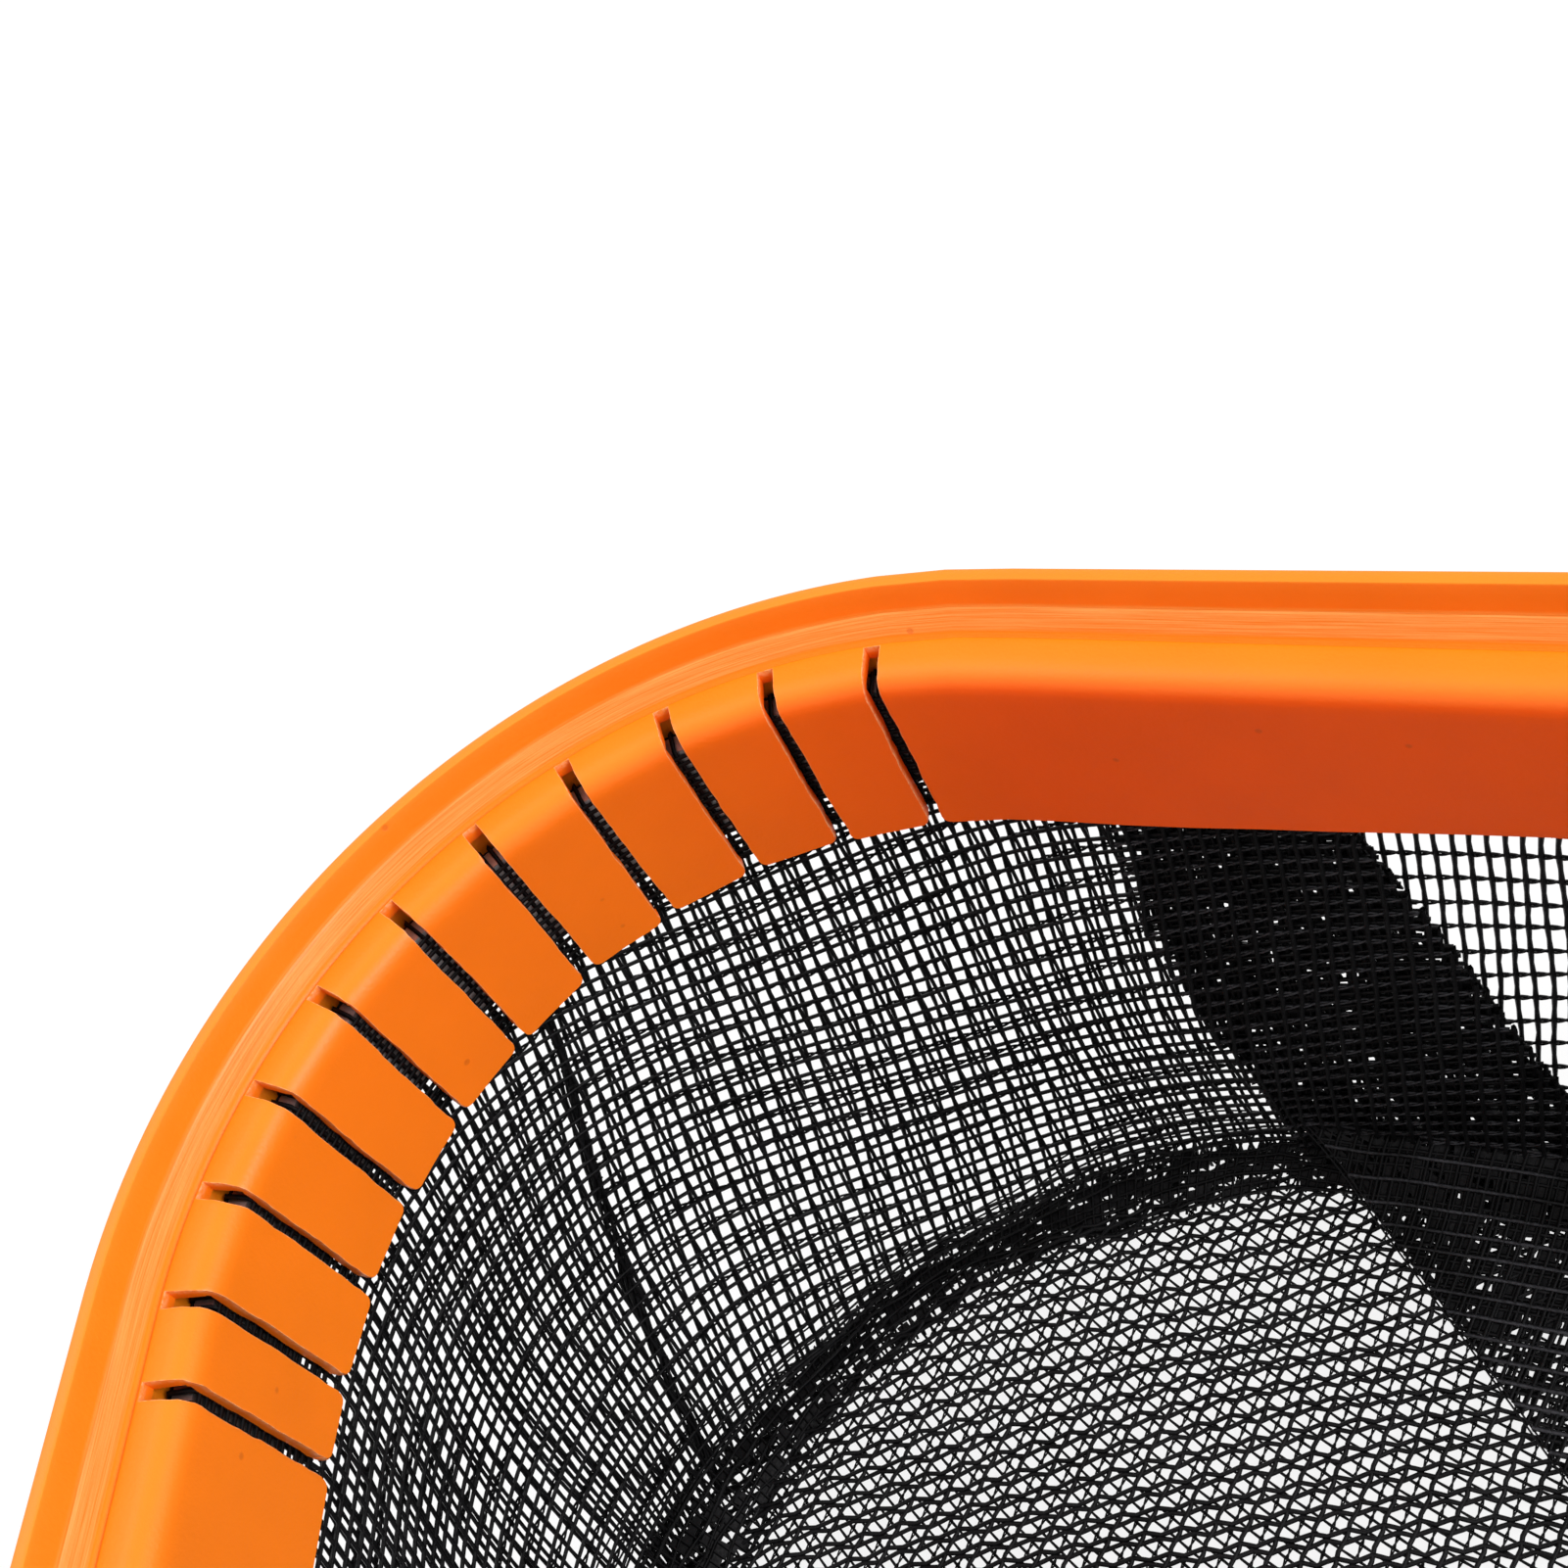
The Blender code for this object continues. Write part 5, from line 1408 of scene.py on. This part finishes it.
    def build_hem(self, end_x: float) -> None:
        """Build the hem of net that is folded over the hoop inside the edge's channel."""
        starts = self.bag.rail.starts()
        half = (starts[8] - starts[7]) / 2
        low, high = -(half - end_x), starts[7] + half - end_x
        path = np.array([(2.5, -20.2), (2.78, -16.5), (2.8, -10.0), (2.8, -3.4), (2.5, -3.02),
                         (0.2, -3.02), (-0.1, -3.4), (-0.1, -17.0)]) * MM
        fine = YarnSet()
        posts = np.arange(low, high, 1.0 * MM)[:, None]
        sway = 0.25 * MM * noise_1d(posts / (2 * MM) + path[None, :, 1] / (9 * MM), 81)
        x, y, _, _ = self.bag.rail.place(posts + sway, path[None, :, 0])
        level = np.broadcast_to(self.bag.rail.level + path[:, 1], x.shape)
        fine.add(np.stack((x, y, level), -1), 0.25 * MM)
        along = np.append(np.arange(low, high, 2.0 * MM), high)[None, :]
        for inset, drops in ((2.9, np.arange(3.6, 20, 0.98)), (-0.16, np.arange(3.8, 17, 3.1))):
            drop = (drops * MM)[:, None] + 0.2 * MM * noise_1d(along / (6 * MM) + 3 * drops[:, None], 82)
            x, y, _, _ = self.bag.rail.place(along + 0 * drop, inset * MM + 0 * drop)
            fine.add(np.stack((x, y, self.bag.rail.level - drop), -1), 0.24 * MM)
        piece = fine.piece("folded_net_hem", self.tree, Finish.NET, 3)
        dress(piece, "net", "net_hem")

    # -- Floor --
    def puff(self, x: Array, y: Array) -> Array:
        """How far the slack floor stands up beside the foot band."""
        depth = self.bag.inside_foot(x, y)
        rise = 3.0 * MM * np.exp(-((depth - 12 * MM) / (6 * MM)) ** 2)
        swell = 0.55 + 0.45 * noise_1d(x / (31 * MM) + y / (47 * MM), 91)
        slack = 0.35 * MM * (1 + noise_1d(x / (17 * MM) - y / (23 * MM), 92))
        return rise * swell + slack

    def lie(self, across: Array, course: Array, drag: float, layer: float,
            lift: Array = 0.0) -> tuple:
        """Where points of the floor cloth lie.

        Args:
            across: Place of a row across the net, at the middle of its length.
            course: Place of a dense yarn along the net, at the middle of its width.
            drag: Share of the corners' drag that the layer follows.
            layer: Height of the layer.
            lift: Extra height.

        Returns:
            Points, and their distance inside the foot.
        """
        x = across + 0 * course
        for _ in range(4):
            over = np.clip(np.abs(x) - 100 * MM, 0, None) / (90 * MM)
            y = course + drag * 23 * MM * over ** 2
            x = across * (1 - 0.93 * (y - 0.12))
        x = x + 0.2 * MM * noise_1d(y / (12 * MM) + across / (3 * MM), 93)
        y = y + 0.2 * MM * noise_1d(x / (12 * MM) + course / (2 * MM), 94)
        points = np.stack((x, y, layer + self.puff(x, y) + lift), -1)
        return points, self.bag.inside_foot(x, y) - 0.6 * MM

    def build_floor(self) -> None:
        """Build the woven floor in three widths, and the knitted layer that lies inside it."""
        for number, word in enumerate(("left", "middle", "right")):
            fine, posts, knit = YarnSet(), YarnSet(), YarnSet()
            first, last = self.floor_seams[number:number + 2]
            full = number == 0

            def inside(points: Array, depth: Array) -> Array:
                return np.minimum.reduce([depth, points[..., 0] - first, last - points[..., 0]])

            rows = np.arange(first - 0.06, last + 0.06, LENO.row_pitch * 0.95)
            dense = np.arange(*self.floor_ends, LENO.post_pitch)
            halves = np.arange(2 * len(rows) - 1) / 2
            path = np.interp(halves, np.arange(len(rows)), rows) if full else rows
            swell = np.where(halves % 1 == 0, 1.2, 0.93) if full else np.ones(len(rows))
            far = dense < (0.165 if full else 1.0)
            for target, lines, places, girth in ((fine, dense[far], rows, np.ones(len(rows))),
                                                 (posts, dense[~far], path, swell)):
                if len(lines):
                    points, depth = self.lie(places[None, :], lines[:, None], 1.0, self.outer)
                    target.add(points, 0.14 * MM * girth[None, :], inside(points, depth))
            steps = np.arange(len(dense))
            turns = np.sort(np.append(steps, steps[~far][:-1] + 0.5)) if full else steps
            course = np.interp(turns, np.arange(len(dense)), dense)
            for strand in ((1, -1) if full else (0,)):
                offset = strand * LENO.strand_rise * np.cos(math.pi * turns)
                points, depth = self.lie(rows[:, None] + offset[None, :], course[None, :], 1.0,
                                         self.outer, strand * 0.09 * MM * np.sin(math.pi * turns)[None, :])
                fine.add(points, (0.11 if full else 0.22) * MM, inside(points, depth))
            self.knit_floor(knit, (first, last), full, inside)
            area = self.floor_area(first, last)
            for name, sets, node in (("net", (fine, posts), "net_outer_layer"),
                                     ("knit", (knit, YarnSet())[::-1 if full else 1], "net_inner_layer")):
                piece = self.cloth_piece(f"{word}_floor_{name}", *sets, node)

    def knit_floor(self, knit: YarnSet, limits: tuple, full: bool, inside: Callable) -> None:
        """Lay the knitted layer: ribs along the net, and paired rows that part round each rib."""
        rib, row, part, gap = self.knit_rib, self.knit_row, 0.5 * MM, 0.36 * MM
        first, last = (math.floor((value + shift) / rib) for value, shift in zip(limits, (-0.03, 0.04)))

        def crowd(course: Array, across: Array) -> Array:
            return course + 3.0 * MM * noise_1d(course / (21 * MM) + across / (45 * MM), 95)

        def lay(across: Array, course: Array, girth: float, lift: Array,
                near: bool) -> None:
            points, depth = self.lie(across + 0 * course, crowd(course, across), -1.0, self.inner, lift)
            edge = points[..., 1] - 0.15 if near else 0.15 - points[..., 1]
            keep = np.minimum(inside(points, depth), edge) if full else inside(points, depth)
            knit.add(points, girth, keep)

        for near in ((True, False) if full else (False,)):
            turns = np.arange(first * 4, last * 4) / 4 if near else np.arange(first, last) * 1.0
            swing = 0.5 + 0.5 * np.cos(2 * math.pi * turns)[None, :]
            course = np.arange(-45, 115)[:, None] * row
            for hand in ((1, -1) if near else (0,)):
                spread = hand * (gap / 2 + part * swing)
                lay(turns[None, :] * rib, course + spread, (0.255 if near else 0.36 if full else 0.43) * MM,
                    0.1 * MM * hand * swing, near)
            ribs = np.arange(first, last)[:, None] * rib
            steps = np.arange(-90, 230)[None, :]
            hand = np.where(steps % 2 == 0, 1, -1)
            lay(ribs + 0.16 * MM * hand, steps * row / (2 if near else 1), 0.25 * MM,
                0.12 * MM * hand, near)

    def floor_area(self, first: float, last: float) -> float:
        """Area of the floor between two places across it."""
        x, y = np.meshgrid(np.arange(first, last, MM), np.arange(-0.05, 0.29, MM))
        return float((self.bag.inside_foot(x, y) > 0).sum() * MM ** 2)


# ---- Handle ----
def turned(name: str, profile: Sequence, centre: Sequence, axis: str, finish: Finish,
           sides: int = 48, flats: float = 0.0, angle: float = 32.0) -> Piece:
    """Turn a profile about an axis.

    Args:
        name: The piece's name.
        profile: Pairs of radius and distance along the axis; from pole to pole, or a closed loop.
        centre: A point on the axis.
        axis: X, Y or Z.
        finish: The piece's finish.
        sides: Facets round the axis.
        flats: Width over the flats where the outline is cut to a hexagon.
        angle: Angle in degrees past which an edge is sharp.

    Returns:
        The piece.
    """
    bm = bmesh.new()
    rows = []
    for step in range(sides):
        around = 2 * math.pi * step / sides
        flat = flats / 2 / math.cos((around % (math.pi / 3)) - math.pi / 6) if flats else 1.0
        row = []
        for radius, along in profile:
            reach = min(radius, flat)
            spot = {"X": (along, reach * math.cos(around), reach * math.sin(around)),
                    "Y": (reach * math.sin(around), along, reach * math.cos(around)),
                    "Z": (reach * math.cos(around), reach * math.sin(around), along)}[axis]
            row.append(bm.verts.new(Vector(spot) + Vector(centre)))
        rows.append(row)
    links = len(profile) - (1 if profile[0][0] == 0 else 0)
    for first, second in zip(rows, rows[1:] + rows[:1]):
        for index in range(links):
            after = (index + 1) % len(profile)
            bm.faces.new((first[index], first[after], second[after], second[index]))
    bmesh.ops.remove_doubles(bm, verts=bm.verts, dist=1e-7)
    bmesh.ops.recalc_face_normals(bm, faces=bm.faces)
    mesh = from_bmesh(name, bm)
    smooth_by_angle(mesh, angle)
    finish.paint(mesh)
    return link_mesh(name, mesh)


def softened(name: str, node: str, width: float, finish: Finish) -> Piece:
    """Copy a node of the frame with its edges rounded and its flats whole again."""
    bm = bmesh.new()
    bm.from_mesh(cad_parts[node].data)
    bmesh.ops.remove_doubles(bm, verts=bm.verts, dist=2e-6)
    bmesh.ops.dissolve_limit(bm, angle_limit=math.radians(1.0), verts=bm.verts, edges=bm.edges)
    piece = link_mesh(f"{name}_source", from_bmesh(name, bm))
    add_modifier(piece, "BEVEL", width=width, segments=3, limit_method="ANGLE",
                 angle_limit=math.radians(38), use_clamp_overlap=True)
    made = realised(name, piece)
    smooth_by_angle(made.data, 30)
    finish.paint(made.data)
    return made


def cut(piece: Piece, cutter: Piece) -> Piece:
    """Cut a piece with another."""
    name = piece.name
    add_modifier(piece, "BOOLEAN", object=cutter)
    made = realised(f"{name}_cut", piece)
    bpy.data.objects.remove(cutter)
    made.name = name
    smooth_by_angle(made.data, 32)
    return made


@dataclass
class Handle:
    """Bracket, backing plate, tube with its stop ring and spring clip, and what bolts them."""

    copies: ScatterTree
    bolt_radius: float = 2.0 * MM
    tube_wall: float = 1.3 * MM
    thread_pitch: float = 0.7 * MM

    def middle(self, node: str) -> Vector:
        """Middle of a node's box."""
        low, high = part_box(node)
        return (low + high) / 2

    def screw(self, name: str, node: str, axis: int, radius: float) -> Piece:
        """A pan head screw with a cross recess and a threaded tip, along Y or Z about the origin.

        Args:
            name: The screw's name.
            node: Node that gives its size.
            axis: 1 for Y, 2 for Z; the head is at the high end.
            radius: Radius of the shank.

        Returns:
            The screw, placed along its axis and centred on the others.
        """
        low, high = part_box(node)
        tip, top = low[axis], high[axis]
        head = (high.x - low.x) / 2
        height = head * 0.62
        profile = [(0, tip), (radius * 0.72, tip), (radius * 0.95, tip + 0.4 * MM)]
        turns = int(5 * MM / self.thread_pitch)
        for turn in range(turns):
            along = tip + 0.5 * MM + turn * self.thread_pitch
            profile += [(radius * 0.86, along), (radius, along + self.thread_pitch / 2)]
        seat = top - height
        profile += [(radius * 0.95, tip + 5.6 * MM), (radius * 0.95, seat), (head * 0.97, seat),
                    (head, seat + 0.2 * MM), (head, seat + height * 0.45),
                    (head * 0.93, seat + height * 0.7), (head * 0.78, seat + height * 0.87),
                    (head * 0.5, seat + height * 0.96), (0, top)]
        letter = "XYZ"[axis]
        made = turned(name, profile, (0, 0, 0), letter, Finish.STEEL, 40)
        for turn in (0.25 * math.pi, 0.75 * math.pi):
            size, around, shift = Vector((head * 1.1, head * 0.24, head * 0.24)), Vector(), Vector()
            size[axis], around[axis], shift[axis] = height * 1.1, 1, top
            place = Matrix.Translation(shift) @ Matrix.Rotation(turn, 4, around)
            bm = bmesh.new()
            bmesh.ops.create_cube(bm, size=1.0, matrix=place @ Matrix.Diagonal((*size, 1)))
            made = cut(made, link_mesh("cross_cutter", from_bmesh("cross_cutter", bm)))
        return made

    def nut(self, name: str, node: str, axis: int, radius: float) -> Piece:
        """A chamfered hexagon lock nut with a nylon ring, along Y or Z about the origin."""
        low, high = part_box(node)
        size = high - low
        across = min(size[other] for other in range(3) if other != axis)
        corner = across / 2 / math.cos(math.pi / 6)
        shape = ((radius * 1.02, 0), (across * 0.485, 0), (corner, 0.1), (corner, 0.66),
                 (across * 0.475, 0.78), (across * 0.4, 0.82), (across * 0.4, 0.96),
                 (across * 0.37, 1), (radius * 1.02, 1))
        profile = [(reach, high[axis] - size[axis] * share) for reach, share in shape]
        return turned(name, profile, (0, 0, 0), "XYZ"[axis], Finish.STEEL, 48, across, 25)

    def spread(self, name: str, shape: Piece, nodes: Sequence) -> Piece:
        """Copy a screw or nut that lies along Y onto the middles of some nodes."""
        mesh = bpy.data.meshes.new(name)
        spots = [self.middle(node) for node in nodes]
        mesh.from_pydata([(spot.x, 0, spot.z) for spot in spots], [], [])
        set_values(mesh, "turn", np.array([(0, 0.9 * number, 0) for number in range(len(spots))]))
        made = self.copies.run(name, link_mesh(f"{name}_spots", mesh), {
            "Shape": shape, "Size": 1.0, "Finish": Finish.STEEL.material()})
        bpy.data.objects.remove(shape)
        smooth_by_angle(made.data, 30)
        return dress(made, "fasteners", *nodes)

    def build_fasteners(self) -> None:
        """Build the four bracket bolts and nuts, the tube bolt and its nut, and the rivets."""
        numbers = range(1, 5)
        self.spread("bracket_screws", self.screw("screw", "bracket_bolt_1", 1, self.bolt_radius),
                    [f"bracket_bolt_{n}" for n in numbers])
        self.spread("bracket_lock_nuts", self.nut("nut", "bracket_nut_1", 1, self.bolt_radius),
                    [f"bracket_nut_{n}" for n in numbers])
        for name, node, make in (("tube_screw", "tube_bolt", self.screw),
                                 ("tube_lock_nut", "tube_nut", self.nut)):
            made = make(name, node, 2, 2.5 * MM)
            spot = self.middle(node)
            made.data.transform(Matrix.Translation((spot.x, spot.y, 0)))
            dress(made, "fasteners", node)
        for side in ("left", "right"):
            node = f"edge_rivet_{side}"
            low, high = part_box(node)
            spot = (low + high) / 2
            head = (high.x - low.x) / 2
            rise = 1.1 * MM
            dome = [(head * math.cos(a), rise * math.sin(a))
                    for a in np.linspace(math.pi / 2, 0, 9)]
            near = [(radius, low.y + rise - up) for radius, up in dome]
            far = [(radius, high.y - rise + up) for radius, up in reversed(dome)]
            shank = [(head / 2, low.y + rise), (head / 2, high.y - rise)]
            made = turned(f"domed_rivet_{side}", near + shank + far, (spot.x, 0, spot.z), "Y",
                          Finish.TUBE, 40)
            dress(made, "rivets", node)

    def build_tube(self) -> None:
        """Build the handle tube with its button holes and the pole stop ring."""
        low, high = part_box("handle_tube")
        centre = (0, 0, (low.z + high.z) / 2)
        outer = (high.z - low.z) / 2
        bore, edge = outer - self.tube_wall, 0.25 * MM
        tube = turned("drawn_handle_tube", [
            (outer, high.y - edge), (outer, low.y + edge), (outer - edge, low.y),
            (bore + edge, low.y), (bore, low.y + edge), (bore, high.y - edge),
            (bore + edge, high.y), (outer - edge, high.y)], centre, "Y", Finish.TUBE, 96)
        spot = self.middle("clip_button_left")
        drill = turned("button_drill", [(0, -2 * outer), (3.75 * MM, -2 * outer),
                                        (3.75 * MM, 2 * outer), (0, 2 * outer)],
                       (0, spot.y, spot.z), "X", Finish.TUBE, 48)
        dress(cut(tube, drill), "tube", "handle_tube")

        low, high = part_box("pole_stop")
        rim = (high.z - low.z) / 2
        inside, round_off = outer + 0.3 * MM, 0.5 * MM
        length = high.y - low.y
        groove = [(rim - 0.45 * MM * (step % 2), low.y + length * (0.14 + 0.042 * step))
                  for step in range(0, 10)]
        ring = turned("pole_stop_ring", [
            (inside, low.y), (rim - round_off, low.y), (rim - 0.15 * MM, low.y + 0.15 * MM),
            (rim, low.y + round_off), *groove, (rim, low.y + length * 0.6),
            (inside + 1.9 * MM, high.y - 0.6 * MM), (inside + 1.3 * MM, high.y), (inside, high.y)],
            centre, "Y", Finish.NYLON, 96)
        dress(ring, "bracket", "pole_stop")

    def build_clip(self) -> None:
        """Dress the spring clip in the tube and round its push buttons."""
        spine = softened("spring_clip_spine", "clip_spine", 0.15 * MM, Finish.SPRING)
        dress(spine, "spring_clip", "clip_spine")
        for side in Side:
            word = side.name.lower()
            arm = softened(f"spring_clip_arm_{word}", f"clip_arm_{word}", 0.15 * MM, Finish.SPRING)
            low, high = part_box(f"clip_button_{word}")
            spot = (low + high) / 2
            radius = (high.z - low.z) / 2
            root, tip = (high.x, low.x) if side is Side.LEFT else (low.x, high.x)
            way = 1 if tip > root else -1
            dome = [(radius * math.cos(a), tip - way * 1.6 * MM * (1 - math.sin(a)))
                    for a in np.linspace(0, math.pi / 2, 10)]
            button = turned(f"push_button_{word}", [(0, root), (radius, root), *dome],
                            (0, spot.y, spot.z), "X", Finish.SPRING, 48)
            for piece, node in ((arm, f"clip_arm_{word}"), (button, f"clip_button_{word}")):
                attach(piece, f"{word}_clip_arm")
                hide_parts(node)

    def build(self) -> None:
        """Build and dress every piece of the handle."""
        dress(softened("moulded_handle_bracket", "handle_bracket", 0.55 * MM, Finish.NYLON),
              "bracket", "handle_bracket")
        dress(softened("bent_backing_plate", "backing_plate", 0.3 * MM, Finish.STRIP),
              "hoop", "backing_plate")
        Finish.STRIP.paint(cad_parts["frame_hoop"].data)
        self.build_tube()
        self.build_fasteners()
        self.build_clip()


# ---- Studio ----
@dataclass
class Studio:
    """A white floor and surround, one broad key light, and the camera."""

    camera_place: tuple = (-0.12574, 0.19152, 0.19840)
    camera_right: tuple = (0.8641, 0.3395, -0.3717)
    camera_up: tuple = (-0.0624, 0.8049, 0.5902)
    lens: float = 43.86
    ambient: float = 0.82

    def white_to_the_eye(self, tree: bpy.types.NodeTree) -> bpy.types.NodeSocket:
        """One where a ray comes from the camera or a mirror or glass, else zero."""
        path = add_node(tree, "ShaderNodeLightPath").outputs
        either = add_node(tree, "ShaderNodeMath", {
            0: path["Is Camera Ray"], 1: path["Is Glossy Ray"]}, operation="MAXIMUM")
        return add_node(tree, "ShaderNodeMath", {
            0: either, 1: path["Is Transmission Ray"]}, operation="MAXIMUM").outputs[0]

    def build_floor(self) -> None:
        """Lay the white floor, which still takes a soft shadow."""
        mesh = bpy.data.meshes.new("studio_floor")
        mesh.from_pydata([(-9, -9, -0.4 * MM), (9, -9, -0.4 * MM), (9, 9, -0.4 * MM),
                          (-9, 9, -0.4 * MM)], [], [(0, 1, 2, 3)])
        floor = link_mesh("studio_floor", mesh)
        paint = bpy.data.materials.new("white_studio_sweep")
        paint.use_nodes = True
        tree = paint.node_tree
        tree.nodes.clear()
        plain = add_node(tree, "ShaderNodeBsdfDiffuse", {"Color": "#e6e6e6"})
        glow = add_node(tree, "ShaderNodeEmission", {"Color": "#ffffff", "Strength": 0.86})
        dim = add_node(tree, "ShaderNodeBsdfDiffuse", {"Color": "#6a6a6a"})
        seen = add_node(tree, "ShaderNodeAddShader", {0: glow, 1: dim})
        mix = add_node(tree, "ShaderNodeMixShader", {
            0: self.white_to_the_eye(tree), 1: plain, 2: seen})
        add_node(tree, "ShaderNodeOutputMaterial", {0: mix})
        mesh.materials.append(paint)

    def build_world(self) -> None:
        """Surround the net with white for the eye and even light for the rest."""
        world = bpy.data.worlds.new("white_surround")
        bpy.context.scene.world = world
        world.use_nodes = True
        tree = world.node_tree
        shader = tree.nodes["Background"]
        strength = add_node(tree, "ShaderNodeMapRange", {
            0: self.white_to_the_eye(tree), 3: self.ambient, 4: 1.0})
        fill(tree, shader.inputs["Strength"], strength)
        fill(tree, shader.inputs["Color"], "#ffffff")

    def add_lamp(self, name: str, place: Sequence, size: float, power: float) -> None:
        """Hang an area lamp that faces the net."""
        data = bpy.data.lights.new(name, "AREA")
        data.shape = "DISK"
        data.size = size
        data.energy = power
        lamp = bpy.data.objects.new(name, data)
        lamp.location = place
        aim = Vector((0.0, 0.1, 0.05)) - Vector(place)
        lamp.rotation_euler = aim.to_track_quat("-Z", "Y").to_euler()
        bpy.context.scene.collection.objects.link(lamp)

    def build_camera(self) -> None:
        """Set up the camera close over one front corner."""
        right, up = Vector(self.camera_right).normalized(), Vector(self.camera_up).normalized()
        back = right.cross(up).normalized()
        up = back.cross(right)
        data = bpy.data.cameras.new("camera")
        data.lens = self.lens
        data.sensor_width = 36.0
        data.clip_start = 0.005
        camera = bpy.data.objects.new("camera", data)
        turn = Matrix((right, up, back)).transposed().to_4x4()
        camera.matrix_world = Matrix.Translation(self.camera_place) @ turn
        bpy.context.scene.collection.objects.link(camera)
        bpy.context.scene.camera = camera

    def build(self) -> None:
        """Build the whole studio."""
        self.build_floor()
        self.build_world()
        self.add_lamp("key_lamp", (1.15, 0.30, 1.05), 0.9, 18.0)
        self.add_lamp("fill_lamp", (-1.0, 0.05, 1.15), 1.0, 5.0)
        self.build_camera()
        bpy.context.scene.view_settings.view_transform = "Standard"


def clear_default_scene() -> None:
    """Remove what a new file holds besides the frame."""
    for name in ("Cube", "Light", "Camera"):
        thing = bpy.data.objects.get(name)
        if thing:
            bpy.data.objects.remove(thing)


def stitch_shape() -> Piece:
    """One short stitch of thick thread, along X."""
    profile = [(0.2 * MM * math.sin(a), -0.8 * MM * math.cos(a)) for a in np.linspace(0, math.pi, 6)]
    profile[0], profile[-1] = (0, -0.8 * MM), (0, 0.8 * MM)
    return turned("stitch", profile, (0, 0, 0), "X", Finish.SEAM, 6)


def main() -> None:
    """Build every piece round the frame, in order, and the studio round it."""
    logging.basicConfig(level=logging.INFO, format="%(message)s")
    clear_default_scene()
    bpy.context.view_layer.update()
    Studio().build()
    rail = Rail.from_frame(3.7 * MM, 5.0 * MM)
    end_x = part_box("handle_bracket")[1].x + 0.3 * MM
    dress(ScoopEdge(rail, end_x).build(), "scoop_edge", "scoop_edge")

    yarns, copies = YarnTree(), ScatterTree()
    bag = NetBag(BagShape(rail), yarns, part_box("net_hem")[0].z)
    stitch = stitch_shape()
    bag.build_walls()
    bag.build_overlaps()
    bag.build_corner_seams(copies, stitch)
    bag.build_foot_band(copies, stitch)
    bag.build_hem(end_x)
    bag.build_floor()
    bpy.data.objects.remove(stitch)
    Handle(copies).build()


if __name__ == "__main__":
    main()
